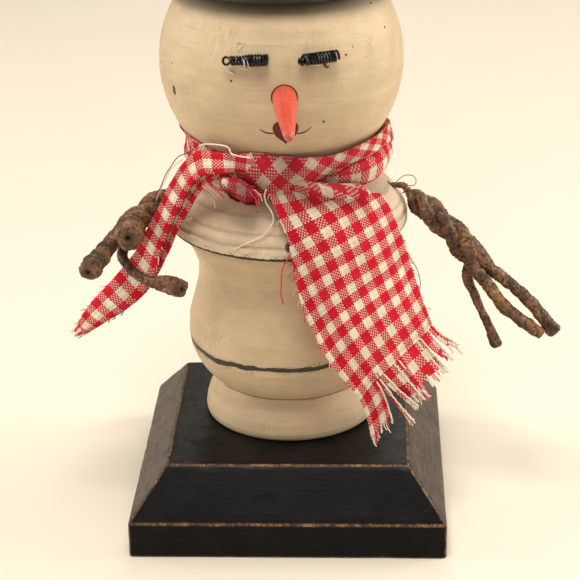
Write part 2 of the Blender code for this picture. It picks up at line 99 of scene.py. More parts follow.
def spline(points, count):
    """Count vectors on a smooth curve through the given points."""
    return [Vector(p) for p in catmull(points, count)]


def resampled(values, count):
    """Count values on the straight lines between values given at even distances."""
    return np.interp(np.linspace(0, 1, count), np.linspace(0, 1, len(values)), values).tolist()


def heading(turn):
    """Level unit vector at an angle from +X."""
    return Vector((math.cos(turn), math.sin(turn), 0))


def frames_along(points):
    """Tangent, side and up at each point, carried along without twisting."""
    result = []
    side = Vector((0, 1, 0.2))
    for k in range(len(points)):
        ahead = points[min(k + 1, len(points) - 1)]
        behind = points[max(k - 1, 0)]
        tangent = (ahead - behind).normalized()
        if k == 0:
            side = tangent.cross(side)
        side = (side - tangent * side.dot(tangent)).normalized()
        result.append((tangent, side, tangent.cross(side)))
    return result


def along(start, direction):
    """Matrix that stands +Z of a shape along direction, from start."""
    turn = Vector(direction).normalized().to_track_quat("Z", "Y").to_matrix().to_4x4()
    return Matrix.Translation(start) @ turn


def make_piece(name, bm, material, body, replaces=(), sharp=40.0):
    """Turn a bmesh into a piece that rides on a body."""
    bmesh.ops.recalc_face_normals(bm, faces=bm.faces)
    mesh = bpy.data.meshes.new(name)
    bm.to_mesh(mesh)
    bm.free()
    mesh.shade_smooth()
    mesh.set_sharp_from_angle(angle=math.radians(sharp))
    mesh.materials.append(material)
    piece = bpy.data.objects.new(name, mesh)
    bpy.context.scene.collection.objects.link(piece)
    if body:
        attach(piece, body)
    if replaces:
        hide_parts(*replaces)
    return piece


def join_rings(bm, rings):
    """Faces between each closed ring of vertices and the next."""
    for low, high in zip(rings, rings[1:]):
        for k in range(len(low)):
            after = (k + 1) % len(low)
            bm.faces.new((low[k], low[after], high[after], high[k]))


def close_ring(bm, ring, hub):
    """Triangles from a closed ring of vertices to a hub."""
    for k in range(len(ring)):
        bm.faces.new((ring[k], ring[(k + 1) % len(ring)], hub))


def tube(bm, points, radii, sides, round_ends):
    """A closed tube along points; radii is one radius or one for each point."""
    radii = list(radii) if hasattr(radii, "__len__") else [radii] * len(points)
    frames = frames_along(points)
    rings = []

    def ring(centre, k, radius):
        """Add a ring of vertices round centre, square to the line at point k."""
        _, side, up = frames[k]
        made = []
        for n in range(sides):
            turn = PI2 * n / sides
            way = side * math.cos(turn) + up * math.sin(turn)
            made.append(bm.verts.new(centre + radius * way))
        rings.append(made)

    def cap(k, way):
        """Add the smaller rings that round the end at point k."""
        steps = range(round_ends, 0, -1) if way < 0 else range(1, round_ends + 1)
        for step in steps:
            turn = math.pi / 2 * step / (round_ends + 0.6)
            ring(points[k] + frames[k][0] * (way * radii[k] * math.sin(turn)), k,
                 radii[k] * math.cos(turn))

    cap(0, -1)
    for k, point in enumerate(points):
        ring(point, k, radii[k])
    cap(len(points) - 1, 1)
    join_rings(bm, rings)
    bm.faces.new(reversed(rings[0]))
    bm.faces.new(rings[-1])


# ---------------------------------------------------------------- camera, light and floor

CAMERA_PLACE = (0.02506, -0.56643, 0.31015)
CAMERA_YAW = -0.04419
CAMERA_PITCH = 0.39984
CAMERA_ROLL = 0.01686
CAMERA_LENS = 117.67


def make_camera():
    """Camera a little above the figure, looking down at it from the front."""
    yaw, pitch, roll = CAMERA_YAW, CAMERA_PITCH, CAMERA_ROLL
    forward = Vector((math.sin(yaw) * math.cos(pitch), math.cos(yaw) * math.cos(pitch),
                      -math.sin(pitch)))
    right = Vector((math.cos(yaw), -math.sin(yaw), 0))
    down = forward.cross(right)
    x_axis = math.cos(roll) * right + math.sin(roll) * down
    y_axis = math.sin(roll) * right - math.cos(roll) * down
    data = bpy.data.cameras.new("camera")
    data.lens = CAMERA_LENS
    data.sensor_width = 36.0
    data.clip_start = 0.01
    data.clip_end = 20.0
    camera = bpy.data.objects.new("camera", data)
    turn = Matrix((x_axis, y_axis, -forward)).transposed().to_4x4()
    camera.matrix_world = Matrix.Translation(CAMERA_PLACE) @ turn
    bpy.context.scene.collection.objects.link(camera)
    bpy.context.scene.camera = camera


def add_light(name, place, target, size, power, colour):
    """A round area light of the given diameter at place, aimed at target."""
    data = bpy.data.lights.new(name, "AREA")
    data.shape = "DISK"
    data.size = size
    data.energy = power
    data.color = colour
    light = bpy.data.objects.new(name, data)
    light.matrix_world = along(Vector(place), Vector(place) - Vector(target))
    bpy.context.scene.collection.objects.link(light)


def make_lights():
    """A soft key nearly overhead, fills at the sides, back and front, and a dim warm world."""
    world = bpy.data.worlds.new("studio")
    world.use_nodes = True
    background = world.node_tree.nodes["Background"]
    background.inputs["Color"].default_value = (1.0, 0.93, 0.82, 1.0)
    background.inputs["Strength"].default_value = 0.19
    bpy.context.scene.world = world
    middle = (0, 0, 0.11)
    warm = (1.0, 0.95, 0.87)
    add_light("key", (-0.02, -0.32, 0.97), middle, 0.42, 7.0, warm)
    add_light("side_left", (-0.9, 0.10, 0.32), middle, 0.7, 5.0, warm)
    add_light("side_right", (0.9, 0.15, 0.36), middle, 0.7, 7.8, warm)
    add_light("back", (0.1, 0.9, 0.9), middle, 0.8, 5.2, warm)
    add_light("front", (-0.25, -1.2, 0.5), middle, 0.5, 2.4, warm)
    bpy.context.scene.view_settings.view_transform = "Standard"


def make_floor():
    """Pale floor that curves up into a backdrop."""
    bm = bmesh.new()
    width = 6.0
    profile = [(-3.0, 0.0), (0.5, 0.0), (1.2, 0.0)]
    profile += [(1.2 + 0.6 * math.sin(a), 0.6 - 0.6 * math.cos(a))
                for a in np.linspace(0, math.pi / 2, 12)[1:]]
    profile += [(1.8, 3.0)]
    rows = [[bm.verts.new((x, y, z)) for x in (-width / 2, width / 2)] for y, z in profile]
    for low, high in zip(rows, rows[1:]):
        bm.faces.new((low[0], low[1], high[1], high[0]))
    floor = make_piece("floor", bm, floor_material(), None, sharp=60)


# ---------------------------------------------------------------- materials

class Graph:
    """Short names for making one material's nodes and links."""

    def __init__(self, name):
        self.material = bpy.data.materials.new(name)
        self.material.use_nodes = True
        self.tree = self.material.node_tree
        self.shader = self.tree.nodes["Principled BSDF"]
        self.place = self.add("TexCoord").outputs["Object"]

    def add(self, kind, inputs=None, **settings):
        """A new node with its inputs fed or set."""
        node = self.tree.nodes.new("ShaderNode" + kind)
        for key, value in settings.items():
            setattr(node, key, value)
        for key, value in (inputs or {}).items():
            self.feed(node.inputs[key], value)
        return node

    def feed(self, socket, value):
        """Link a socket to another node's output, or set its fixed value."""
        if isinstance(value, bpy.types.NodeSocket):
            self.tree.links.new(value, socket)
        elif socket.type == "RGBA" and len(value) == 3:
            socket.default_value = (*value, 1.0)
        else:
            socket.default_value = value

    def math(self, operation, a, b=0.0, c=0.0):
        """Result of a math node."""
        node = self.add("Math", operation=operation)
        for socket, value in zip(node.inputs, (a, b, c)):
            self.feed(socket, value)
        return node.outputs[0]

    def times(self, a, b):
        """Product of two values."""
        return self.math("MULTIPLY", a, b)

    def scaled(self, vector, factors):
        """The vector with each of its parts multiplied."""
        return self.add("VectorMath", {0: vector, 1: factors}, operation="MULTIPLY").outputs[0]

    def split(self, vector):
        """The three parts of a vector or colour."""
        return self.add("SeparateXYZ", {"Vector": vector}).outputs

    def noise(self, size, detail=4.0, rough=0.55, vector=None, warp=0.0):
        """Noise of about 0..1, its lumps about size metres across."""
        node = self.add("TexNoise", {"Vector": vector or self.place, "Scale": 1.0 / size,
                                     "Detail": detail, "Roughness": rough, "Distortion": warp})
        return node.outputs["Fac"]

    def step(self, value, low, high, to_low=0.0, to_high=1.0):
        """Smoothly from to_low at low to to_high at high."""
        node = self.add("MapRange", {"Value": value, "From Min": low, "From Max": high,
                                     "To Min": to_low, "To Max": to_high},
                        interpolation_type="SMOOTHSTEP")
        return node.outputs["Result"]

    def mix(self, share, a, b, blend="MIX"):
        """Colour a with share of colour b laid over it."""
        node = self.add("Mix", data_type="RGBA", blend_type=blend)
        self.feed(node.inputs["Factor"], share)
        self.feed(node.inputs[6], a)
        self.feed(node.inputs[7], b)
        return node.outputs[2]

    def bump(self, height, depth, after=None):
        """A bump of depth metres where height goes from 0 to 1."""
        inputs = {"Height": height, "Distance": depth, "Strength": 1.0}
        if after:
            inputs["Normal"] = after
        return self.add("Bump", inputs).outputs["Normal"]

    def near(self, point, low, high):
        """1 within low of a point in metres, 0 beyond high."""
        gap = self.add("VectorMath", {0: self.place, 1: point}, operation="DISTANCE")
        return self.step(gap.outputs["Value"], low, high, 1.0, 0.0)

    def finish(self, colour=None, roughness=None, normal=None, **fixed):
        """Link or set the shader's inputs and return the material."""
        for key, value in (("Base Color", colour), ("Roughness", roughness), ("Normal", normal)):
            if value is not None:
                self.feed(self.shader.inputs[key], value)
        for key, value in fixed.items():
            self.feed(self.shader.inputs[key.replace("_", " ")], value)
        return self.material


def floor_material():
    """Matt cream paper, slightly uneven."""
    g = Graph("floor_paper")
    tone = g.mix(g.noise(0.08, 3.0), (0.785, 0.71, 0.60), (0.825, 0.75, 0.64))
    return g.finish(tone, 0.9, g.bump(g.noise(0.002, 3.0), 0.00005))


BELLY_RING_Z = 54.6 * MM
RIM_LINE_Z = 93.8 * MM
# Specks in the paint: spacing, how few are kept, size as a share of the spacing, strength, colour
PAINT_SPECKS = [(0.0042, (0.86, 0.9), (0.05, 0.1), 0.7, (0.10, 0.07, 0.045)),
                (0.0016, (0.74, 0.80), (0.08, 0.2), 0.4, (0.20, 0.13, 0.07))]


def cream_material(name, marks=(), rings=(), brim_shade=None, tint=(1.0, 1.0, 1.0)):
    """Aged cream paint over turned wood: lathe lines, stains, specks and dark rings.

    marks are (place, radius, softness); rings are (z, half width, strength, drift), dark lines that
    are worn paint on the lower body and rim, painted shade in the shoulder's grooves; the two
    heights under the brim are where painted shade darkens the paint upwards; tint multiplies the
    colour.
    """
    g = Graph(name)
    x, y, z = g.split(g.place)
    lathe = g.add("CombineXYZ", {"X": g.times(x, 0.06), "Y": g.times(y, 0.06),
                                 "Z": z}).outputs[0]
    fine_lines = g.noise(0.0007, 3.0, 0.6, lathe)
    broad_lines = g.noise(0.006, 3.0, 0.5, lathe)
    upright = g.scaled(g.place, (1.0, 1.0, 0.12))
    fibres = g.noise(0.0011, 4.0, 0.6, upright)
    patches = g.noise(0.022, 4.0, 0.6, warp=0.6)
    cloud = g.noise(0.009, 5.0, 0.65)
    tone = g.mix(g.step(patches, 0.35, 0.68), (0.55, 0.415, 0.265), (0.65, 0.495, 0.32))
    tone = g.mix(g.step(cloud, 0.3, 0.75, 0.0, 0.55), tone, (0.47, 0.36, 0.225))
    tone = g.mix(g.step(broad_lines, 0.45, 0.75, 0.0, 0.3), tone, (0.74, 0.60, 0.40))
    tone = g.mix(g.step(fine_lines, 0.52, 0.78, 0.0, 0.4), tone, (0.40, 0.29, 0.17))
    tone = g.mix(g.step(fibres, 0.6, 0.78, 0.0, 0.3), tone, (0.42, 0.31, 0.19))
    stain = g.times(g.step(g.noise(0.016, 3.0, 0.5), 0.56, 0.74),
                    g.step(g.noise(0.0014, 3.0, 0.7, upright), 0.42, 0.62))
    tone = g.mix(g.times(stain, 0.42), tone, (0.36, 0.24, 0.12))
    for spacing, rare, size, share, colour in PAINT_SPECKS:
        specks = g.add("TexVoronoi", {"Vector": g.place, "Scale": 1 / spacing, "Randomness": 1.0},
                       feature="F1").outputs
        speck = g.times(g.step(specks["Distance"], *size, 1.0, 0.0),
                        g.step(g.split(specks["Color"])[0], *rare))
        tone = g.mix(g.times(speck, share), tone, colour)
    ragged = g.noise(0.0007, 5.0, 0.8, g.scaled(g.place, (0.45, 0.45, 1.0)))
    blotch = g.noise(0.0030, 4.0, 0.7, g.scaled(g.place, (0.4, 0.4, 1.0)))
    turn = g.noise(0.014, 2.0)
    dots = g.times(g.step(g.noise(0.0004, 2.0, 0.5), 0.48, 0.58), g.step(blotch, 0.46, 0.60))
    # Dark ring lines with specks beside them: worn paint on the lower body and at the rim line,
    # painted shade in the shoulder's grooves.
    for ring_z, half, strength, lean in rings:
        drift = g.math("MULTIPLY_ADD", g.math("SUBTRACT", turn, 0.5), lean, z)
        gap = g.math("ABSOLUTE", g.math("SUBTRACT", drift, ring_z))
        core = g.step(gap, half * 0.25, half, 1.0, 0.0)
        worn = g.step(g.math("ADD", g.times(core, 0.54),
                             g.math("MULTIPLY_ADD", ragged, 0.75, g.times(blotch, 0.5))),
                      0.93, 1.03)
        tone = g.mix(g.times(worn, strength), tone, (0.020, 0.016, 0.013))
        specks_and_groove_shade = g.times(g.step(gap, half * 0.7, half * 2.0, 1.0, 0.0), dots)
        tone = g.mix(g.times(specks_and_groove_shade, strength * 0.8), tone, (0.035, 0.028, 0.022))
    # Painted shade under the hat's brim: the paint darkens upwards between the two heights.
    if brim_shade:
        tone = g.mix(g.step(z, brim_shade[0], brim_shade[1], 0.0, 0.9), tone, (0.030, 0.024, 0.013))
    for place, radius, softness in marks:
        mark = g.near(Vector(place) * MM, radius * MM, (radius + softness) * MM)
        tone = g.mix(g.times(mark, 0.95), tone, (0.025, 0.018, 0.013))
    tone = g.mix(1.0, tone, tint, "MULTIPLY")
    height = g.math("MULTIPLY_ADD", fine_lines, 0.5, g.times(fibres, 0.5))
    normal = g.bump(height, 0.00007)
    normal = g.bump(cloud, 0.00012, normal)
    rough = g.step(patches, 0.3, 0.7, 0.5, 0.66)
    return g.finish(tone, rough, normal, Specular_IOR_Level=0.35)


def base_material():
    """Black paint, worn through to brown wood along the edges, and a painted sheen of dull brown on
    the left and right faces.
    """
    g = Graph("base_black_paint")
    wear = g.add("Attribute", attribute_name="wear").outputs["Fac"]
    scuff = g.noise(0.0035, 6.0, 0.72)
    fine = g.noise(0.0008, 4.0, 0.7)
    normal_x, _, _ = g.split(g.add("TexCoord").outputs["Normal"])
    side = g.step(g.math("ABSOLUTE", normal_x), 0.35, 0.55)
    long_grain = g.noise(0.0012, 4.0, 0.65, g.scaled(g.place, (0.12, 1.0, 1.0)))
    side_grain = g.noise(0.0012, 4.0, 0.65, g.scaled(g.place, (1.0, 0.08, 1.0)))
    grainy = g.math("MULTIPLY_ADD", side, g.math("SUBTRACT", side_grain, long_grain), long_grain)
    edge = g.math("MULTIPLY_ADD", scuff, 0.42, g.math("MULTIPLY_ADD", fine, 0.3, wear))
    bare = g.step(edge, 0.93, 1.03)
    primer = g.step(edge, 0.78, 0.96)
    tone = g.mix(g.step(g.noise(0.012, 5.0, 0.65), 0.35, 0.7), (0.003, 0.003, 0.003),
                 (0.007, 0.0065, 0.006))
    tone = g.mix(g.step(grainy, 0.55, 0.8, 0.0, 0.5), tone, (0.016, 0.0135, 0.011))
    # Painted sheen: the left and right faces turn a lighter brown-grey, standing in for the side
    # lamps glancing off the paint.
    side_sheen = g.step(g.math("ADD", side_grain, g.noise(0.007, 4.0, 0.6)), 0.75, 1.25, 0.35, 0.95)
    tone = g.mix(g.times(side, side_sheen), tone, (0.082, 0.060, 0.045))
    tone = g.mix(g.times(primer, 0.7), tone, (0.085, 0.05, 0.03))
    tone = g.mix(bare, tone, g.mix(fine, (0.18, 0.105, 0.055), (0.34, 0.21, 0.12)))
    height = g.math("MULTIPLY_ADD", grainy, 0.6, g.times(g.noise(0.002, 4.0), 0.4))
    normal = g.bump(height, 0.00012)
    normal = g.bump(g.math("SUBTRACT", 1.0, bare), 0.00008, normal)
    rough = g.mix(bare, (0.42,) * 3, (0.75,) * 3)
    rough = g.math("ADD", rough, g.step(scuff, 0.4, 0.7, -0.06, 0.1))
    return g.finish(tone, rough, normal, Specular_IOR_Level=0.12)


def hat_material():
    """Thick glossy black paint with a crinkled skin and a few worn spots."""
    g = Graph("hat_gloss_black")
    crinkle = g.noise(0.0035, 5.0, 0.62, warp=1.2)
    fine = g.noise(0.0009, 3.0, 0.6)
    rub = g.step(g.math("MULTIPLY_ADD", fine, 0.4, g.noise(0.012, 4.0, 0.7)), 0.88, 0.96)
    tone = g.mix(crinkle, (0.003, 0.003, 0.0035), (0.010, 0.009, 0.009))
    tone = g.mix(g.times(rub, 0.5), tone, (0.14, 0.085, 0.05))
    normal = g.bump(crinkle, 0.0013)
    normal = g.bump(fine, 0.00006, normal)
    rough = g.step(crinkle, 0.3, 0.7, 0.12, 0.24)
    return g.finish(tone, rough, normal, Coat_Weight=0.25, Coat_Roughness=0.06,
                    Specular_IOR_Level=0.4)


def nose_material():
    """Coral paint, darker and dirtier at the root and worn at the blunt tip."""
    g = Graph("nose_coral_paint")
    tip = g.add("Attribute", attribute_name="reach").outputs["Fac"]
    speckle = g.noise(0.0011, 5.0, 0.7)
    patches = g.noise(0.004, 3.0, 0.6)
    lines = g.noise(0.0006, 3.0, 0.6, g.scaled(g.place, (1.0, 0.12, 1.0)))
    tone = g.mix(g.step(patches, 0.35, 0.7), (0.60, 0.070, 0.040), (0.66, 0.095, 0.058))
    tone = g.mix(g.step(lines, 0.55, 0.8, 0.0, 0.35), tone, (0.62, 0.075, 0.035))
    worn = g.times(g.step(tip, 0.86, 0.98), g.step(speckle, 0.42, 0.56))
    tone = g.mix(g.times(worn, 0.85), tone, (0.38, 0.16, 0.09))
    root = g.times(g.step(tip, 0.0, 0.10, 1.0, 0.0), g.step(speckle, 0.3, 0.7, 0.4, 1.0))
    tone = g.mix(g.times(root, 0.6), tone, (0.25, 0.05, 0.025))
    normal = g.bump(g.math("ADD", lines, patches), 0.00008)
    rough = g.step(speckle, 0.35, 0.7, 0.26, 0.42)
    return g.finish(tone, rough, normal, Coat_Weight=0.25, Coat_Roughness=0.2)


def mouth_material(name, low, high):
    """Thin matt craft paint with the brush's streaks in it."""
    g = Graph(name)
    streaks = g.noise(0.0005, 4.0, 0.6, g.scaled(g.place, (1.0, 1.0, 0.3)))
    tone = g.mix(g.step(streaks, 0.3, 0.72), low, high)
    return g.finish(tone, 0.55, g.bump(streaks, 0.00004), Specular_IOR_Level=0.25)


def wire_material():
    """Black lacquered wire with scratches that show a little bright metal."""
    g = Graph("black_lacquered_wire")
    scratch = g.noise(0.0005, 4.0, 0.7, g.scaled(g.place, (1.0, 1.0, 2.2)))
    tone = g.mix(g.step(scratch, 0.62, 0.78, 0.0, 0.4), (0.004, 0.004, 0.0045), (0.06, 0.055, 0.05))
    rough = g.step(scratch, 0.3, 0.7, 0.2, 0.36)
    return g.finish(tone, rough, g.bump(scratch, 0.00003), Coat_Weight=0.2, Coat_Roughness=0.1,
                    Specular_IOR_Level=0.25)


def glue_material():
    """Cloudy dried glue."""
    g = Graph("dried_glue")
    cloud = g.noise(0.0008, 3.0, 0.6)
    tone = g.mix(cloud, (0.56, 0.47, 0.34), (0.72, 0.63, 0.49))
    rough = g.step(cloud, 0.3, 0.7, 0.22, 0.4)
    return g.finish(tone, rough, g.bump(cloud, 0.00006), Subsurface_Weight=0.3,
                    Subsurface_Scale=0.0006)


def bead_material():
    """Small shiny black bead, lightly pitted."""
    g = Graph("bead_black")
    pits = g.noise(0.0004, 3.0, 0.6)
    tone = g.mix(pits, (0.006, 0.006, 0.006), (0.02, 0.018, 0.016))
    return g.finish(tone, g.step(pits, 0.3, 0.7, 0.18, 0.35), g.bump(pits, 0.00003))


def twig_material():
    """Varnished brown paper wound round wire: painted shade in the folds, golden and reddish rubs.
    """
    g = Graph("twig_paper_wrap")
    ridge = g.add("Attribute", attribute_name="ridge").outputs["Fac"]
    lumps = g.noise(0.0042, 5.0, 0.68)
    fine = g.noise(0.0011, 5.0, 0.72)
    hue = g.noise(0.007, 3.0, 0.55)
    tone = g.mix(g.step(lumps, 0.34, 0.64), (0.022, 0.010, 0.0055), (0.165, 0.066, 0.028))
    tone = g.mix(g.times(g.step(hue, 0.47, 0.64), g.step(fine, 0.40, 0.60)), tone,
                 (0.33, 0.175, 0.058))
    red_hue = g.noise(0.006, 3.0, 0.5, g.scaled(g.place, (1, 1.3, 1.1)))
    tone = g.mix(g.step(red_hue, 0.58, 0.72, 0.0, 0.65), tone, (0.21, 0.062, 0.034))
    # Painted shade: near black where ridge is low, in the seams, creases and the dimpled ends.
    tone = g.mix(g.step(ridge, 0.0, 0.45, 0.9, 0.0), tone, (0.012, 0.007, 0.005))
    tone = g.mix(g.times(g.step(ridge, 0.62, 0.95, 0.0, 0.6), g.step(fine, 0.45, 0.65)), tone,
                 (0.44, 0.24, 0.11))
    normal = g.bump(lumps, 0.0007)
    normal = g.bump(fine, 0.0003, normal)
    rough = g.step(fine, 0.3, 0.7, 0.4, 0.62)
    return g.finish(tone, rough, normal, Coat_Weight=0.22, Coat_Roughness=0.22,
                    Specular_IOR_Level=0.35)


def wood_material():
    """Bare dowel wood with long grain."""
    g = Graph("bare_wood")
    grain_line = g.noise(0.0008, 5.0, 0.65, g.scaled(g.place, (1.0, 1.0, 0.08)))
    tone = g.mix(g.step(grain_line, 0.3, 0.7), (0.42, 0.27, 0.14), (0.66, 0.48, 0.28))
    return g.finish(tone, 0.7, g.bump(grain_line, 0.00008))


def steel_material(name, low, high, rough):
    """Drawn or turned metal with fine marks."""
    g = Graph(name)
    marks = g.noise(0.0006, 4.0, 0.6, g.scaled(g.place, (1.0, 1.0, 0.25)))
    tone = g.mix(marks, low, high)
    roughness = g.step(marks, 0.3, 0.7, rough, rough + 0.15)
    return g.finish(tone, roughness, g.bump(marks, 0.00003), Metallic=1.0)


# ---------------------------------------------------------------- turned wood

OUTLINE_AZIMUTH = math.radians(80)
TURNED_SIDES = 144
LATHE_DEPTH = 0.05 * MM
HEAD_MIDDLE_Z = 147.5 * MM


def surface_tree(piece):
    """Search tree of a piece's faces."""
    return BVHTree.FromPolygons([v.co for v in piece.data.vertices],
                                [p.vertices for p in piece.data.polygons])


def cad_outline(node, centre, step):
    """Radius at each height of a turned CAD node, felt from outside, clear of its holes."""
    low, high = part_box(node)
    tree = surface_tree(NODES[node])
    way = heading(OUTLINE_AZIMUTH)
    count = int(round((high.z - low.z) / step))
    outline = []
    for k in range(count + 1):
        z = mix(low.z + 0.02 * MM, high.z - 0.02 * MM, k / count)
        start = Vector((centre[0], centre[1], z)) + way * 0.1
        hit = tree.ray_cast(start, -way)[0]
        outline.append((math.hypot(hit.x - centre[0], hit.y - centre[1]), z))
    return outline


def turned_shape(outline, centre, relief):
    """A turned solid from an outline of (radius, z), with relief(point) added outwards."""
    bm = bmesh.new()
    rings = []
    for radius, z in outline:
        ring = []
        for k in range(TURNED_SIDES):
            way = heading(PI2 * k / TURNED_SIDES)
            point = Vector((centre[0], centre[1], z)) + way * radius
            ring.append(bm.verts.new(point + way * relief(point)))
        rings.append(ring)
    join_rings(bm, rings)
    for ring in (rings[0], rings[-1]):
        close_ring(bm, ring, bm.verts.new((centre[0], centre[1], ring[0].co.z)))
    return bm


def cut(piece, cutters):
    """Take turned cutters (start, direction, radius, length) out of a piece."""
    for start, direction, radius, length in cutters:
        bm = bmesh.new()
        bmesh.ops.create_cone(bm, cap_ends=True, segments=48, radius1=radius, radius2=radius,
                              depth=length)
        place = along(start, direction) @ Matrix.Translation((0, 0, length / 2))
        bmesh.ops.transform(bm, matrix=place, verts=bm.verts)
        mesh = bpy.data.meshes.new("cutter")
        bm.to_mesh(mesh)
        bm.free()
        cutter = bpy.data.objects.new("cutter", mesh)
        bpy.context.scene.collection.objects.link(cutter)
        change = piece.modifiers.new("cut", "BOOLEAN")
        change.operation = "DIFFERENCE"
        change.solver = "EXACT"
        change.object = cutter
        evaluated = piece.evaluated_get(bpy.context.evaluated_depsgraph_get())
        applied = bpy.data.meshes.new_from_object(evaluated)
        piece.modifiers.remove(change)
        piece.data = applied
        bpy.data.objects.remove(cutter)


def lathe_relief(depth, seed):
    """Turning lines, a slightly uneven surface and small dents."""
    def relief(point):
        """How far the surface stands out at a point."""
        lines = grain((0, 0, point.z), 0.9 * MM, seed) * 0.35
        uneven = grain(point, 14 * MM, seed + 1) * 1.6
        dent = min(0.0, grain(point, 3.0 * MM, seed + 2) + 0.55) * 2.0
        return depth * (lines + uneven + dent)
    return relief


NOSE_BASE = Vector((0.8, -33.2, 145.7)) * MM
NOSE_TIP = Vector((3.0, -55.5, 140.3)) * MM
NOSE_HOLE = 3.95 * MM
BUTTON_CENTRE = Vector((1.9, -33.4, 98.4)) * MM
ARM_HOLE_Z = 104.8 * MM
HOLE_DEPTH = 9 * MM


def node_axis(node):
    """X and Y of the middle of a turned node's box."""
    low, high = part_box(node)
    return ((low.x + high.x) / 2, (low.y + high.y) / 2)


def make_body():
    """Lower body and shoulder, with the drilled arm holes and the button's seat."""
    centre = node_axis("lower_body")
    outline = cad_outline("lower_body", centre, 0.45 * MM)
    material = cream_material("body_cream", rings=[
        (BELLY_RING_Z, 1.55 * MM, 0.95, 0.0045), (RIM_LINE_Z, 1.5 * MM, 1.0, 0.0),
        (40.6 * MM, 0.8 * MM, 0.5, 0.001)])
    make_piece("lower_body_turning", turned_shape(outline, centre, lathe_relief(LATHE_DEPTH, 1)),
               material, "figure", ("lower_body",))
    outline = cad_outline("shoulder_cap", centre, 0.25 * MM)
    # Painted light: tint makes the shoulder's paint lighter than the body's, where the scarf shades
    # it. The three rings above the rim line are painted shade in its grooves.
    material = cream_material("shoulder_cream", rings=[
        (RIM_LINE_Z, 1.5 * MM, 1.0, 0.0), (97.6 * MM, 0.8 * MM, 0.32, 0.0008),
        (101.4 * MM, 0.8 * MM, 0.22, 0.001), (105.6 * MM, 0.8 * MM, 0.22, 0.001)],
        tint=(1.18, 1.22, 1.32))
    shape = turned_shape(outline, centre, lathe_relief(LATHE_DEPTH, 2))
    shoulder = make_piece("shoulder_turning", shape, material, "figure",
                          ("shoulder_cap",))
    holes = [(BUTTON_CENTRE + Vector((0, 1.5 * MM, 0)), (0, -1, 0), 1.75 * MM, HOLE_DEPTH)]
    for way in (-1, 1):
        holes.append((Vector((centre[0] + way * 22 * MM, centre[1], ARM_HOLE_Z)), (way, 0, 0),
                      1.3 * MM, 20 * MM))
    cut(shoulder, holes)


# Dark marks on the head: place, radius and softness in millimetres
HEAD_MARKS = [((-33.5, -15.5, 143.4), 0.8, 0.25), ((-33.5, -15.5, 142.2), 0.8, 0.25),
              ((26.2, -10.9, 168.3), 0.35, 0.15), ((30.4, -10.9, 160.9), 0.35, 0.15),
              ((18.8, -26.0, 156.6), 0.3, 0.15), ((-14.9, -30.8, 150.2), 0.3, 0.15),
              ((-33.7, -15.3, 151.3), 0.25, 0.12), ((12.2, -29.1, 137.0), 0.3, 0.3),
              ((-37.9, -6.9, 149.3), 0.3, 0.15)]
# Heights between which painted shade darkens the head under the brim.
BRIM_PAINTED_SHADE = (165.0 * MM, 171.6 * MM)


def make_head():
    """Ball head with the nose's drilled hole."""
    centre = node_axis("head_ball")
    outline = cad_outline("head_ball", centre, 0.5 * MM)
    material = cream_material("head_cream", marks=HEAD_MARKS, brim_shade=BRIM_PAINTED_SHADE)
    head = make_piece("head_turning", turned_shape(outline, centre, lathe_relief(LATHE_DEPTH, 3)),
                      material, "figure", ("head_ball",))
    way = (NOSE_TIP - NOSE_BASE).normalized()
    cut(head, [(NOSE_BASE - way * HOLE_DEPTH, way, NOSE_HOLE, HOLE_DEPTH + 6 * MM)])
    return head


def make_hat():
    """Glossy brim and crown with a crinkled skin of paint."""
    material = hat_material()
    for seed, node in ((4, "hat_brim"), (5, "hat_crown")):
        centre = node_axis(node)
        outline = cad_outline(node, centre, 0.3 * MM)

        def relief(point, seed=seed):
            """Crinkled thick paint."""
            fine = 0.16 * MM * grain(point, 2.6 * MM, seed)
            return fine + 0.12 * MM * grain(point, 7 * MM, seed + 1)
        make_piece(node + "_painted", turned_shape(outline, centre, relief), material,
                   "figure", (node,))


# ---------------------------------------------------------------- base

BASE_TOP_HALF = 38.2 * MM
BASE_SIDE_HEIGHT = 11.9 * MM
BASE_CORNER_ROUND = 0.9 * MM


def distance_to_edge(point, a, b):
    """Distance from a point to the straight piece from a to b."""
    share = (point - a).dot(b - a) / (b - a).length_squared
    return (point - (a + (b - a) * min(1.0, max(0.0, share)))).length


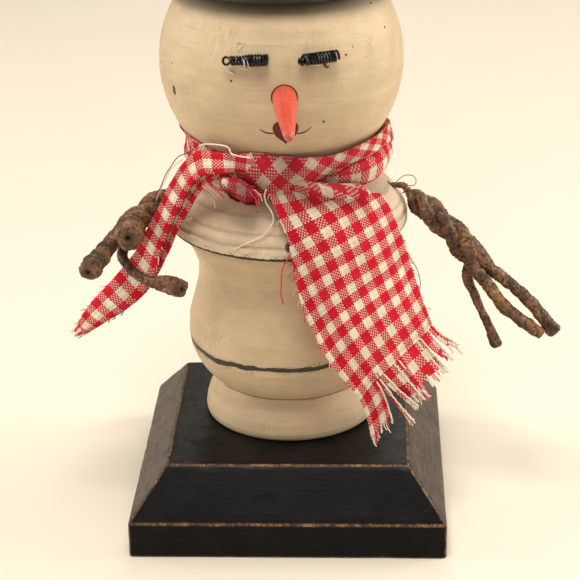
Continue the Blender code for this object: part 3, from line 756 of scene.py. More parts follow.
def make_base():
    """Chamfered block with soft, dented edges; wear is 1 along its edges."""
    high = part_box("base_block")[1]
    half, top_z = high.x, high.z
    profile = [(half, 0.0), (half, BASE_SIDE_HEIGHT), (BASE_TOP_HALF, top_z)]
    bm = bmesh.new()
    rings = [[bm.verts.new((x * reach, y * reach, z))
              for x, y in ((1, 1), (-1, 1), (-1, -1), (1, -1))] for reach, z in profile]
    join_rings(bm, rings)
    bm.faces.new(reversed(rings[0]))
    bm.faces.new(rings[-1])
    edges = [(e.verts[0].co.copy(), e.verts[1].co.copy()) for e in bm.edges]
    bmesh.ops.bevel(bm, geom=list(bm.edges), offset=BASE_CORNER_ROUND, segments=4, profile=0.5,
                    affect="EDGES")
    for size in (24, 12, 6, 3, 1.5):
        long_edges = [e for e in bm.edges if e.calc_length() > size * MM]
        bmesh.ops.subdivide_edges(bm, edges=long_edges, cuts=1, use_grid_fill=True)
    bmesh.ops.triangulate(bm, faces=[f for f in bm.faces if len(f.verts) > 4])
    bm.normal_update()
    layer = bm.verts.layers.float.new("wear")
    moved = []
    for vert in bm.verts:
        point = vert.co.copy()
        gap = min(distance_to_edge(point, a, b) for a, b in edges)
        edge = 1 - smooth(gap, 0.3 * MM, 1.6 * MM)
        vert[layer] = 0.62 * edge
        chip = smooth(grain(point, 2.2 * MM, 11), 0.25, 0.6) * edge * 0.35 * MM
        wave = 0.07 * MM * grain(point, 9 * MM, 12)
        if point.z > 0.5 * MM:
            point -= vert.normal * (chip + wave)
        moved.append((vert, point))
    for vert, place in moved:
        vert.co = place
    make_piece("base_block_painted", bm, base_material(), "figure", ("base_block",))


# ---------------------------------------------------------------- face

EYE_COIL_RADIUS = 1.5 * MM
EYE_WIRE_RADIUS = 0.39 * MM
EYE_PITCH = 0.90 * MM
NOSE_PEG = 8 * MM
NOSE_OUTLINE = [(0.0, 3.65), (0.25, 3.3), (0.5, 2.75), (0.75, 2.1), (0.9, 1.7), (1.0, 1.25)]


def make_nose():
    """Whittled carrot with long flats and a chipped tip; reach is 0 at the root, 1 at the tip."""
    length = (NOSE_TIP - NOSE_BASE).length
    sides = 56
    steps = 44
    rings = [(-NOSE_PEG, 3.65 * MM, 0.0)]
    reaches = [r for r, _ in NOSE_OUTLINE]
    radii = [r for _, r in NOSE_OUTLINE]
    for k in range(steps + 1):
        reach = k / steps
        rings.append((reach * length, float(np.interp(reach, reaches, radii)) * MM, reach))
    bm = bmesh.new()
    layer = bm.verts.layers.float.new("reach")
    made = []
    for z, radius, reach in rings:
        ring = []
        for n in range(sides):
            way = heading(PI2 * n / sides)
            flat = grain(way * 1.6 * MM + Vector((0, 0, z * 0.10)), 1.0 * MM, 21)
            nick = grain(way * 2 * MM + Vector((0, 0, z)), 0.8 * MM, 22)
            chip = smooth(reach, 0.86, 1.0) * (0.45 + nick)
            point = way * radius * (1 + 0.035 * flat * smooth(reach, 0, 0.15) - 0.22 * chip)
            vert = bm.verts.new(point + Vector((0, 0, z - 0.9 * MM * chip)))
            vert[layer] = reach
            ring.append(vert)
        made.append(ring)
    join_rings(bm, made)
    for ring, height, reach in ((made[0], -NOSE_PEG, 0.0), (made[-1], length - 0.1 * MM, 1.0)):
        hub = bm.verts.new((0, 0, height))
        hub[layer] = reach
        close_ring(bm, ring, hub)
    bmesh.ops.transform(bm, matrix=along(NOSE_BASE, NOSE_TIP - NOSE_BASE), verts=bm.verts)
    make_piece("carrot_nose_painted", bm, nose_material(), "figure",
               ("carrot_nose",))


def coil_points(start, end, loop_way, squeeze, seed):
    """A hand-wound coil with a loop before its start, where squeeze makes it narrower."""
    start, end = Vector(start) * MM, Vector(end) * MM
    length = (end - start).length
    steps = 18
    count = int(length / EYE_PITCH * steps)
    points = []
    for k in range(count + 1):
        t = k / count
        turn = PI2 * k / steps
        narrower = 1 - squeeze * (1 - smooth(t, 0.28, 0.55))
        radius = EYE_COIL_RADIUS * narrower * (1 + 0.05 * grain((turn * 0.11, seed, 0), 1.0, seed))
        shake = 0.16 * MM * grain((turn * 0.16, seed, 3), 1.0, seed)
        points.append(Vector((radius * math.cos(turn), radius * math.sin(turn),
                              t * length + shake)))
    loop_radius = 1.05 * MM
    loop = []
    for k in range(17):
        turn = math.radians(200 + 320 * k / 16)
        across = loop_radius * math.sin(turn)
        back = -1.25 * MM - loop_radius * math.cos(turn)
        edge_on = Vector((across, 0.9 * loop_radius * math.cos(turn) - 0.5 * MM,
                          -0.8 * MM - 0.3 * across))
        loop.append(Vector((across * 0.35, across, back)) if loop_way > 0 else edge_on)
    place = along(start, end - start)
    return [place @ p for p in loop] + [place @ p for p in points]


def make_eyes():
    """Two hand-wound wire coils; the left one is squeezed and glued at its outer end."""
    material = wire_material()
    eyes = [("left", (-14.8, -32.4, 156.8), (-3.8, -34.6, 157.6), 1, 0.26, 31),
            ("right", (6.6, -34.0, 157.4), (16.3, -30.2, 157.6), -1, 0.0, 32)]
    for side, start, end, way, squeeze, seed in eyes:
        points = coil_points(start, end, way, squeeze, seed)
        bm = bmesh.new()
        tube(bm, points, EYE_WIRE_RADIUS, 8, 2)
        if side == "right":
            tail = spline(vectors([(12.6, -33.4, 155.9), (13.0, -32.6, 155.0), (13.3, -31.6, 154.5),
                                   (13.6, -30.8, 154.4)]), 14)
            tube(bm, tail, EYE_WIRE_RADIUS, 8, 2)
        make_piece(side + "_eye_wire", bm, material, "figure", (side + "_eye_coil",))


# Runs of dried glue: places and radii in millimetres
GLUE_RUNS = [
    ([(-16.2, -30.7, 153.5), (-14.9, -31.2, 153.0), (-13.8, -31.6, 152.5)], [0.15, 0.45, 0.2]),
    ([(-11.6, -32.9, 158.5), (-10.9, -34.5, 157.6), (-10.6, -34.9, 156.2), (-10.9, -33.7, 155.0)],
     [0.12, 0.2, 0.2, 0.2]),
    ([(-10.2, -33.0, 158.6), (-9.7, -35.0, 157.4), (-9.4, -34.9, 156.0), (-8.9, -33.2, 154.8)],
     [0.1, 0.15, 0.16, 0.3]),
    ([(-12.0, -32.3, 154.7), (-10.6, -32.8, 154.5), (-9.4, -33.1, 154.6)], [0.2, 0.45, 0.2]),
    ([(-13.3, -29.6, 160.5), (-12.9, -29.3, 161.3), (-12.1, -29.3, 161.5), (-11.5, -29.7, 160.8),
      (-11.9, -30.1, 160.0), (-12.7, -30.2, 159.9)], [0.1, 0.16, 0.13, 0.16, 0.13, 0.1]),
    ([(8.2, -33.4, 155.6), (11.0, -32.6, 155.5), (14.0, -31.2, 155.6)], [0.2, 0.3, 0.2])]


def make_glue():
    """Dried glue under and over the eye wires, and a worn spot of it above the left eye."""
    bm = bmesh.new()
    for points, radii in GLUE_RUNS:
        path = spline(vectors(points), 22)
        sizes = [s * MM * (1 + 0.3 * grain(p, 0.9 * MM, 35))
                 for s, p in zip(resampled(radii, len(path)), path)]
        tube(bm, path, sizes, 10, 3)
    make_piece("eye_glue", bm, glue_material(), "figure")


def lay_on(tree, centre, point, lift):
    """The place on a surface under point, seen from centre, lifted by lift."""
    way = (point - centre).normalized()
    hit, normal, _, _ = tree.ray_cast(centre + way * 0.06, -way)
    return hit + normal * lift


def make_mouth():
    """Heart-shaped lips and the two thin strokes of the smile, a paint film on the head."""
    tree = surface_tree(head_piece)
    centre = Vector((*node_axis("head_ball"), HEAD_MIDDLE_Z))
    heart_middle = Vector((1.05, -33.0, 133.6)) * MM
    unit = 0.256 * MM
    lift = 0.07 * MM
    bm = bmesh.new()
    steps, levels = 60, 7
    rings = []
    for level in range(levels, 0, -1):
        ring = []
        for k in range(steps):
            t = PI2 * k / steps
            x = 16 * math.sin(t) ** 3
            z = 13 * math.cos(t) - 5 * math.cos(2 * t) - 2 * math.cos(3 * t) - math.cos(4 * t)
            fuller = 1 + 0.22 * smooth(-z, 0, 9) * (1 - smooth(-z, 9, 17))
            shift = Vector((x * fuller, 0, z * 1.38)) * unit * level / levels
            edge = 0.0 if level < levels else -0.05 * MM
            ring.append(bm.verts.new(lay_on(tree, centre, heart_middle + shift, lift + edge)))
        rings.append(ring)
    join_rings(bm, rings)
    close_ring(bm, rings[-1], bm.verts.new(lay_on(tree, centre, heart_middle, lift)))
    red_brown = mouth_material("mouth_red_brown", (0.085, 0.014, 0.010), (0.155, 0.032, 0.022))
    make_piece("mouth_heart", bm, red_brown, "figure")
    bm = bmesh.new()
    for points in ([(-6.9, -31, 135.2), (-5.2, -31, 134.2), (-3.6, -31, 133.9), (-2.2, -31, 134.0)],
                   [(3.4, -31, 133.6), (5.3, -31, 133.4), (7.1, -31, 133.9), (8.9, -31, 135.2)]):
        line = spline(vectors(points), 30)
        rows = []
        for k, point in enumerate(line):
            t = k / (len(line) - 1)
            width = 0.33 * MM * (0.25 + 0.75 * math.sin(math.pi * min(0.9, max(0.08, t))) ** 0.6)
            row = [bm.verts.new(lay_on(tree, centre, point + Vector((0, 0, s * width)), lift * h))
                   for s, h in ((-1, 0.3), (-0.6, 1), (0.6, 1), (1, 0.3))]
            rows.append(row)
        for a, b in zip(rows, rows[1:]):
            for n in range(3):
                bm.faces.new((a[n], b[n], b[n + 1], a[n + 1]))
    brown = mouth_material("smile_brown", (0.055, 0.018, 0.010), (0.10, 0.036, 0.020))
    make_piece("smile_lines", bm, brown, "figure")


def make_button():
    """Bead in the shoulder rim, slightly flattened and pitted."""
    bm = bmesh.new()
    radius = 1.45 * MM
    outline = [(radius, -1.8 * MM), (radius, 0.3 * MM)]
    outline += [(radius * math.cos(a), 0.4 * MM + radius * math.sin(a))
                for a in np.linspace(0.05, 1.45, 12)]
    turns = [PI2 * k / 32 for k in range(32)]
    rings = [[bm.verts.new((r * math.cos(turn), r * math.sin(turn), z)) for turn in turns]
             for r, z in outline]
    join_rings(bm, rings)
    bm.faces.new(reversed(rings[0]))
    bm.faces.new(rings[-1])
    bmesh.ops.transform(bm, matrix=along(BUTTON_CENTRE, (0, -1, 0)), verts=bm.verts)
    for vert in bm.verts:
        vert.co += Vector((0.05, 0.05, 0.05)) * MM * grain(vert.co, 0.9 * MM, 41)
    make_piece("coal_button_bead", bm, bead_material(), "figure", ("coal_button",))


# ---------------------------------------------------------------- arms

# Fingers: name, turn round the trunk in degrees, places and radii in millimetres
ARMS = {
    "left": {
        "way": -1,
        "trunk": [(-38.7, 4.6, 102.4), (-42.0, 0.5, 100.2), (-45.3, -7, 99.2), (-47.6, -15, 99.6),
                  (-48.4, -23, 100.4)],
        "fingers": [
            ("front_strand", 110, [(-47.4, -29, 102.6), (-46.9, -34, 103.6), (-46.6, -38.5, 104.2)],
             [2.5, 4.0, 4.6, 4.3]),
            ("outer_strand", 230, [(-52.6, -30, 99.4), (-54.9, -38, 98.0), (-57.4, -47, 97.0)],
             [2.4, 2.8, 3.1, 3.5]),
            ("thin_strand", 350, [(-50.3, -26.5, 94.6), (-49.2, -30, 92.6), (-44.4, -33, 88.9),
                                  (-38.6, -34.0, 87.2), (-34.4, -35.4, 87.2), (-32.0, -38.0, 87.2)],
             [1.7, 1.6, 1.55, 1.6, 2.3, 3.1, 3.0])]},
    "right": {
        "way": 1,
        "trunk": [(38.5, 4.6, 102.3), (42.4, 3.2, 99.0), (48.5, 1.0, 94.0), (55.0, -1.0, 88.0),
                  (59.7, -2.5, 82.0)],
        "fingers": [
            ("upper_strand", 0, [(64.5, -3.5, 79.5), (70.0, -5, 75.5), (77.0, -7, 69.5),
                                 (84.6, -9, 60.4)],
             [2.2, 2.1, 2.15, 2.2, 2.5]),
            ("lower_strand", 120, [(62.8, -7.0, 76.4), (67.0, -8, 70.5), (72.5, -9.5, 65.5),
                                   (80.2, -11.5, 60.5)], [2.2, 2.1, 2.2, 2.1, 1.9]),
            ("thin_strand", 240, [(57.2, -1.8, 76.5), (59.6, -4, 70.5), (63.0, -7, 63.5),
                                  (66.6, -9, 55.5)], [1.8, 1.5, 1.35, 1.6, 1.95])]},
}
TRUNK_TWISTS = 1.15
TRUNK_OFFSET = 2.2 * MM
TRUNK_STRAND = 2.35 * MM
WRAP_PITCH = 3.4 * MM


def even_steps(points, step):
    """Points a fixed step apart along a fine polyline, with the share of the length at each."""
    lengths = [0.0]
    for a, b in zip(points, points[1:]):
        lengths.append(lengths[-1] + (b - a).length)
    count = max(2, int(lengths[-1] / step))
    even = []
    for k in range(count + 1):
        target = lengths[-1] * k / count
        n = min(len(points) - 2, int(np.searchsorted(lengths, target, side="right")) - 1)
        t = (target - lengths[n]) / max(1e-9, lengths[n + 1] - lengths[n])
        even.append(points[n].lerp(points[n + 1], min(1.0, t)))
    return even, lengths[-1]


def wrapped_strand(bm, ridge, points, radii, seed):
    """Paper tape wound round a wire, with overlaps, creases and lumps; ridge is low in seams, where
    the material paints shade.
    """
    sides = 26
    points, length = even_steps(points, 0.36 * MM)
    radii = resampled(radii, len(points))
    frames = frames_along(points)
    rings = []

    def add_ring(centre, k, radius, arc):
        """One ring of the paper's surface, arc metres along the strand."""
        ring = []
        _, side, up = frames[k]
        for n in range(sides):
            turn = PI2 * n / sides
            way = side * math.cos(turn) + up * math.sin(turn)
            at = centre + way * radius
            drift = 0.35 * grain(at, 4 * MM, seed)
            phase = (arc / WRAP_PITCH - n / sides + drift) % 1.0
            overlap = smooth(phase, 0.0, 0.16) * (1 - 0.45 * smooth(phase, 0.3, 1.0))
            lump = grain(at, 3.4 * MM, seed + 1)
            crease = abs(grain(at + way * 0.5 * MM, 1.25 * MM, seed + 2))
            factor = 0.90 + 0.12 * overlap + 0.20 * lump - 0.16 * (1 - smooth(crease, 0.0, 0.22))
            vert = bm.verts.new(centre + way * radius * factor)
            vert[ridge] = min(1.0, max(0.0, 0.25 + 0.55 * overlap + 0.35 * lump
                                       - 0.5 * (1 - smooth(crease, 0.0, 0.2))))
            ring.append(vert)
        rings.append(ring)

    for k, point in enumerate(points):
        add_ring(point, k, radii[k], length * k / (len(points) - 1))
    last = len(points) - 1
    tangent = frames[last][0]
    for turn in (20, 38, 54, 68, 80):
        reach = math.radians(turn)
        add_ring(points[last] + tangent * radii[last] * 0.75 * math.sin(reach), last,
                 radii[last] * math.cos(reach), length + radii[last] * reach)
    # The end's ridge falls to 0, so the material paints shade in its dimple.
    for ring, share in ((rings[-3], 0.7), (rings[-2], 0.4), (rings[-1], 0.0)):
        for vert in ring:
            vert[ridge] *= share
            vert.co -= tangent * radii[last] * 0.25 * (1 - share)
    join_rings(bm, rings)
    for ring, depth in ((rings[0], 0.0), (rings[-1], -0.35)):
        middle = sum((v.co for v in ring), Vector()) / sides
        hub = bm.verts.new(middle + tangent * radii[last] * depth)
        hub[ridge] = 0.0
        close_ring(bm, ring, hub)


def strand_path(trunk, turn_at_fork, finger):
    """Twist round the trunk's line to the fork, then follow the finger's own points."""
    path = []
    last = len(trunk) - 1
    for k, (point, (_, side, up)) in enumerate(zip(trunk, frames_along(trunk))):
        reach = k / last
        offset = mix(0.8 * MM, TRUNK_OFFSET, smooth(reach, 0.0, 0.14))
        turn = turn_at_fork + PI2 * TRUNK_TWISTS * (reach - 1)
        path.append(point + offset * (side * math.cos(turn) + up * math.sin(turn)))
    knots = [path[-4]] + [path[-1]] + finger
    return path + spline(knots, 60)[int(60 / (len(knots) - 1)):]


def strand_mesh():
    """An empty bmesh and its layer for the ridge."""
    bm = bmesh.new()
    return bm, bm.verts.layers.float.new("ridge")


def make_arm(side, arm, material, metal):
    """Bent neck of wrapped wire and three strands, twisted together and spread as fingers."""
    trunk = spline(vectors(arm["trunk"]), 70)
    seed = 50 if side == "left" else 60
    for number, (name, turn, finger, sizes) in enumerate(arm["fingers"]):
        path = strand_path(trunk, math.radians(turn), vectors(finger))
        share = len(trunk) / len(path)
        trunk_radii = [0.9 * MM] + [TRUNK_STRAND * factor for factor in (1.06, 0.86, 1.2, 0.95)]
        places = np.concatenate([np.linspace(0, share * 0.97, 5),
                                 np.linspace(share * 1.05, 1, len(sizes))])
        radii = np.interp(np.linspace(0, 1, 120), places, trunk_radii + [s * MM for s in sizes])
        bm, ridge = strand_mesh()
        wrapped_strand(bm, ridge, path, radii, seed + number * 3)
        node = side + "_arm_" + name
        make_piece(node + "_wrapped", bm, material, side + "_arm", (node,))
    low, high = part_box(side + "_arm_stem")
    outer = high.x if arm["way"] > 0 else low.x
    inner = low.x if arm["way"] > 0 else high.x
    middle_y, middle_z = (low.y + high.y) / 2, (low.z + high.z) / 2
    bm, ridge = strand_mesh()
    stem = [Vector((mix(inner, outer, k / 19), middle_y, middle_z)) for k in range(20)]
    wrapped_strand(bm, ridge, stem, [0.8 * MM, 0.85 * MM, 0.95 * MM], seed + 20)
    make_piece(side + "_arm_stem_wrapped", bm, material, side + "_arm_wire",
               (side + "_arm_stem",))
    bm, ridge = strand_mesh()
    start = Vector((outer - arm["way"] * 1.6 * MM, middle_y, middle_z))
    end = trunk[8]
    neck = spline([start, Vector((outer, middle_y, middle_z - 0.3 * MM)), trunk[1], end], 24)
    wrapped_strand(bm, ridge, neck, [1.0 * MM, 1.05 * MM, 1.25 * MM, 1.5 * MM], seed + 24)
    rng = random.Random(seed)
    for _ in range(7):
        at = neck[rng.randrange(4, 20)]
        way = Vector((rng.uniform(-1, 1), rng.uniform(-1, 0.4), rng.uniform(-0.6, 1))).normalized()
        reach = rng.uniform(1.2, 2.4) * MM
        shred = [at, at + way * reach * 0.6, at + way * reach + Vector((0, 0, -0.3 * MM))]
        wrapped_strand(bm, ridge, shred, [0.42 * MM, 0.3 * MM, 0.14 * MM], rng.random() * 9)
    piece = make_piece(side + "_arm_neck_wrap", bm, material, None)
    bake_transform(piece)
    NODES[side + "_arm_core_wire"].data.materials[0] = metal


# ---------------------------------------------------------------- scarf

CHECK_PERIOD = 6.35 * MM
YARNS_PER_PERIOD = 12
CLOTH_HALF = 0.17 * MM
RED_START = 0.48
WEAVE_START = (-0.35, 0.25)
CHIN_SHADE = Vector((9.0, -34.0, 120.0)) * MM


def gingham_material():
    """Woven check: the yarn on top at each crossing gives its colour; weave holds periods. Painted
    shade darkens it round the knot and under the chin.
    """
    g = Graph("gingham_cloth")
    weave = g.add("Attribute", attribute_name="weave").outputs["Vector"]
    ways = g.add("TexNoise", {"Vector": g.place, "Scale": 1 / 0.004, "Detail": 2.0})
    wander = g.add("VectorMath", {0: ways.outputs["Color"], 1: (0.5, 0.5, 0.5)},
                   operation="SUBTRACT").outputs[0]
    moved = g.add("VectorMath", {0: g.scaled(wander, (0.035, 0.035, 0.0)), 1: weave},
                  operation="ADD").outputs[0]
    s, t, _ = g.split(moved)
    yarn_s = g.times(s, YARNS_PER_PERIOD)
    yarn_t = g.times(t, YARNS_PER_PERIOD)
    red_warp = g.math("GREATER_THAN", g.math("FRACT", s), RED_START)
    red_weft = g.math("GREATER_THAN", g.math("FRACT", t), RED_START)
    number_s, number_t = g.math("FLOOR", yarn_s), g.math("FLOOR", yarn_t)
    half_sum = g.times(g.math("ADD", number_s, number_t), 0.5)
    over = g.math("GREATER_THAN", g.math("FRACT", half_sum), 0.25)
    across_s = g.math("ABSOLUTE", g.math("SUBTRACT", g.math("FRACT", yarn_s), 0.5))
    across_t = g.math("ABSOLUTE", g.math("SUBTRACT", g.math("FRACT", yarn_t), 0.5))
    red = g.math("ADD", g.times(over, red_warp),
                 g.times(g.math("SUBTRACT", 1.0, over), red_weft))
    gap = g.math("MAXIMUM", across_s, across_t)
    pit = g.times(g.step(across_s, 0.3, 0.5), g.step(across_t, 0.3, 0.5))
    tint_s = g.add("TexWhiteNoise", {"W": number_s}, noise_dimensions="1D").outputs["Value"]
    tint_t = g.add("TexWhiteNoise", {"W": number_t}, noise_dimensions="1D").outputs["Value"]
    tint = g.math("ADD", g.times(tint_s, 0.5), g.times(tint_t, 0.5))
    fibre = g.noise(0.00025, 2.0, 0.6)
    fade = g.noise(0.013, 3.0, 0.6)
    reds = g.mix(g.step(tint, 0.2, 0.8), (0.54, 0.002, 0.016), (0.78, 0.006, 0.030))
    reds = g.mix(g.step(fade, 0.55, 0.8, 0.0, 0.12), reds, (0.74, 0.10, 0.11))
    whites = g.mix(g.step(tint, 0.2, 0.8), (0.66, 0.55, 0.42), (0.84, 0.75, 0.62))
    tone = g.mix(red, whites, reds)
    tone = g.mix(g.step(fibre, 0.4, 0.75, 0.0, 0.08), tone, (0.9, 0.5, 0.4))
    mixed = g.math("MAXIMUM", red_warp, red_weft)
    tone = g.mix(g.times(mixed, g.step(red, 0.4, 0.6, 0.35, 0.0)), tone, (0.66, 0.16, 0.15))
    under = g.times(mixed, g.step(gap, 0.30, 0.48, 0.0, 0.75))
    tone = g.mix(under, tone, (0.28, 0.004, 0.012))
    tone = g.mix(g.times(pit, 0.8), tone, (0.08, 0.01, 0.012))
    # Painted shade: the cloth darker round the knot, which lies in the band's shadow.
    knot_low, knot_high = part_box("scarf_knot")
    knot_shade = g.near((knot_low + knot_high) / 2, 4.5 * MM, 8.5 * MM)
    tone = g.mix(g.times(knot_shade, 0.74), tone, (0.16, 0.005, 0.012))
    # Painted shade on the bands under the chin.
    height_z = g.split(g.place)[2]
    painted_chin_shade = g.times(g.near(CHIN_SHADE, 15 * MM, 31 * MM),
                         g.step(height_z, 110 * MM, 117 * MM))
    tone = g.mix(g.times(painted_chin_shade, 0.45), tone, (0.15, 0.018, 0.028))
    height = g.math("SUBTRACT", 1.0, g.times(gap, 1.6))
    height = g.math("ADD", height, g.times(fibre, 0.35))
    normal = g.bump(height, 0.00010)
    return g.finish(tone, 0.86, normal, Specular_IOR_Level=0.1)


def yarn_material(name, low, high):
    """Twisted cotton yarn."""
    g = Graph(name)
    twist = g.noise(0.0004, 3.0, 0.6)
    tone = g.mix(g.step(twist, 0.3, 0.7), low, high)
    return g.finish(tone, 0.85, g.bump(twist, 0.00006), Sheen_Weight=0.15)


def surface(net, rows, columns):
    """A smooth grid of rows by columns through a net of control points."""
    return catmull(catmull(net, rows).swapaxes(0, 1), columns).swapaxes(0, 1)


def grid_normals(points):
    """Unit normals of a grid of points."""
    normals = np.cross(np.gradient(points, axis=0), np.gradient(points, axis=1))
    return normals / np.maximum(1e-12, np.linalg.norm(normals, axis=2, keepdims=True))


def run_lengths(points, axis):
    """Length along one direction of a grid, the mean over the other."""
    steps = np.linalg.norm(np.diff(points, axis=axis), axis=2).mean(axis=1 - axis)
    return np.concatenate([[0.0], np.cumsum(steps)])


def weave_of(points, s, t):
    """Weave coordinates (s, t) for a grid of points; s and t may be one row, column or number."""
    weave = np.zeros(points.shape[:2] + (2,))
    weave[..., 0] = s
    weave[..., 1] = t
    return weave


def add_cloth(bm, weave_layer, points, weave):
    """One closed sheet of cloth from a grid of points and its weave coordinates."""
    rows, columns = points.shape[:2]
    normals = grid_normals(points)
    layers = []
    for way in (1, -1):
        layer = []
        for r in range(rows):
            line = []
            for c in range(columns):
                vert = bm.verts.new(points[r, c] + normals[r, c] * CLOTH_HALF * way)
                vert[weave_layer] = (weave[r, c, 0] + WEAVE_START[0],
                                     weave[r, c, 1] + WEAVE_START[1], 0.0)
                line.append(vert)
            layer.append(line)
        layers.append(layer)
    front, back = layers
    for r in range(rows - 1):
        for c in range(columns - 1):
            bm.faces.new((front[r][c], front[r + 1][c], front[r + 1][c + 1], front[r][c + 1]))
            bm.faces.new((back[r][c], back[r][c + 1], back[r + 1][c + 1], back[r + 1][c]))
        for c in (0, columns - 1):
            bm.faces.new((front[r][c], back[r][c], back[r + 1][c], front[r + 1][c]))
    for c in range(columns - 1):
        for r in (0, rows - 1):
            bm.faces.new((front[r][c], front[r][c + 1], back[r][c + 1], back[r][c]))


def push_clear(points, gap):
    """Move cloth points out of the head, the shoulder and the body."""
    low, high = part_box("head_ball")
    centre = np.array([*node_axis("head_ball"), HEAD_MIDDLE_Z])
    radius = (high.x - low.x) / 2 + gap
    away = points - centre
    reach = np.linalg.norm(away, axis=-1, keepdims=True)
    points = np.where(reach < radius, centre + away * (radius / reach), points)
    axis = np.array(node_axis("lower_body"))
    flat = points[..., :2] - axis
    reach = np.linalg.norm(flat, axis=-1)
    heights = [z for _, z in BODY_OUTLINE]
    radii = [r for r, _ in BODY_OUTLINE]
    need = np.interp(points[..., 2], heights, radii, left=0.0, right=0.0) + gap
    inside = (reach < need) & (points[..., 2] < heights[-1])
    factor = np.where(inside, need / np.maximum(reach, 1e-9), 1.0)
    points = points.copy()
    points[..., :2] = axis + flat * factor[..., None]
    return points


def ruffle(points, weave, sizes, seed):
    """Displace a grid along its normals by noise; sizes are (depth, across, along).

    Across and along are in check periods.
    """
    normals = grid_normals(points)
    result = points.copy()
    for r in range(points.shape[0]):
        for c in range(points.shape[1]):
            s, t = weave[r, c]
            rise = 0.0
            for number, (depth, across, length) in enumerate(sizes):
                rise += depth * grain((s / across, t / length, seed), 1.0, seed + number)
            result[r, c] += normals[r, c] * rise
    return result


def ravel(points, seed, depth=0.25 * MM):
    """Unevenly cut edges: the outer columns move in and out a little."""
    result = points.copy()
    columns = points.shape[1]
    for c, inner in ((0, 1), (columns - 1, columns - 2)):
        for r in range(points.shape[0]):
            out = points[r, c] - points[r, inner]
            out = out / max(1e-9, np.linalg.norm(out))
            result[r, c] += out * depth * (grain((r * 0.9, c, seed), 1.0, seed) + 0.2)
    return result


def cloth_piece(name, sheets, node, material):
    """A piece of cloth made of grids (points, weave), which rides on the figure."""
    bm = bmesh.new()
    layer = bm.verts.layers.float_vector.new("weave")
    for points, weave in sheets:
        add_cloth(bm, layer, points, weave)
    piece = make_piece(name, bm, material, "figure", (node,) if node else (), sharp=50)


# Right tail: control points at (s, t) in check periods, in millimetres
TAIL_LENGTH = 9.0
TAIL_COLUMNS = (-0.5, 1.5, 3.5, 5.0, 6.4)
TAIL_ROWS = (-1.2, 0.0, 1.5, 3.0, 5.0, 7.0, TAIL_LENGTH)
TAIL_NET = [
    [(-12.5, -29.0, 119.0), (-4.5, -29.6, 121.0), (5.0, -28.8, 121.5), (12.0, -26.0, 121.5),
     (17.0, -22.0, 120.5)],
    [(-9.0, -30.5, 112.0), (-1.0, -30.5, 113.5), (9.0, -29.0, 115.0), (16.5, -25.0, 115.5),
     (22.0, -20.0, 114.5)],
    [(-4.0, -36.2, 99.5), (5.0, -34.6, 103.5), (16.0, -28.5, 107.5), (23.0, -23.5, 109.5),
     (28.5, -17.0, 110.5)],
    [(1.0, -36.0, 88.5), (10.0, -34.0, 94.0), (20.5, -29.0, 98.0), (27.5, -22.5, 100.5),
     (33.0, -14.5, 102.0)],
    [(7.0, -37.5, 76.0), (15.0, -35.0, 82.0), (24.5, -29.0, 86.5), (31.5, -22.0, 89.0),
     (37.0, -13.5, 91.0)],
    [(13.0, -38.0, 63.5), (20.5, -35.5, 70.5), (29.0, -30.0, 75.5), (35.5, -23.0, 78.0),
     (40.5, -15.0, 80.5)],
    [(22.0, -37.5, 50.5), (28.0, -35.0, 57.5), (35.5, -29.5, 62.5), (41.5, -22.5, 65.5),
     (46.0, -16.0, 68.0)]]
# The panel's edges: t, the first s and the last s
TAIL_EDGES = [(0.0, 0.85, 6.0), (1.5, 0.72, 6.5), (3.0, 0.0, 6.45), (4.5, -0.5, 6.6),
              (7.0, -0.55, 6.35), (TAIL_LENGTH, -0.45, 6.1)]
# Its top, under the wrap and the lip: s and t
TAIL_TOP = [(0.5, -0.5), (2.0, -0.45), (3.5, 0.1), (5.0, 0.95), (5.8, 1.5), (6.4, 2.05)]
# Strips below the panel: first s, last s, length, lean and turn at the tip, end yarns, widening
STRIPS = [(-0.45, 1.2, 15.0, (-3.4, 0.5, -2.6), 8, 9, 1.25),
          (1.26, 1.5, 14.5, (2.6, -1.4, -1.2), -20, 3, 1.0),
          (1.56, 1.8, 12.5, (4.0, -1.6, 0.4), 35, 3, 1.0),
          (1.86, 2.75, 12.0, (3.0, -1.5, -0.2), 35, 5, 1.0),
          (2.82, 3.05, 13.0, (3.6, 0.8, -0.8), -30, 3, 1.0),
          (3.12, 4.6, 11.0, (2.6, -0.8, -0.6), 10, 8, 1.1),
          (4.68, 4.9, 10.5, (3.2, 0.5, -0.8), 30, 3, 1.0),
          (4.97, 5.6, 9.5, (3.2, 0.2, 0.2), -25, 5, 1.1),
          (5.67, 6.1, 8.5, (3.8, 0.0, 1.0), 20, 4, 1.0)]
# Section of the rolled lip: upwards and outwards from the panel's top edge, in millimetres
LIP_SHAPE = [(0.0, 0.0), (0.6, -1.0), (1.8, -1.2), (3.2, 0.0), (3.5, 1.5), (2.6, 3.0), (0.9, 3.9),
             (-0.6, 3.6)]


def tail_point(s, t):
    """Place of weave coordinate (s, t) on the right tail's panel."""
    columns = np.interp(s, TAIL_COLUMNS, range(len(TAIL_COLUMNS)))
    rows = np.interp(t, TAIL_ROWS, range(len(TAIL_ROWS)))
    fine_rows, fine_columns = TAIL_FINE.shape[:2]
    r = rows / (len(TAIL_ROWS) - 1) * (fine_rows - 1)
    c = columns / (len(TAIL_COLUMNS) - 1) * (fine_columns - 1)
    r0, c0 = min(int(r), fine_rows - 2), min(int(c), fine_columns - 2)
    a, b = TAIL_FINE[r0, c0:c0 + 2]
    d, e = TAIL_FINE[r0 + 1, c0:c0 + 2]
    return mix(mix(a, b, c - c0), mix(d, e, c - c0), r - r0)


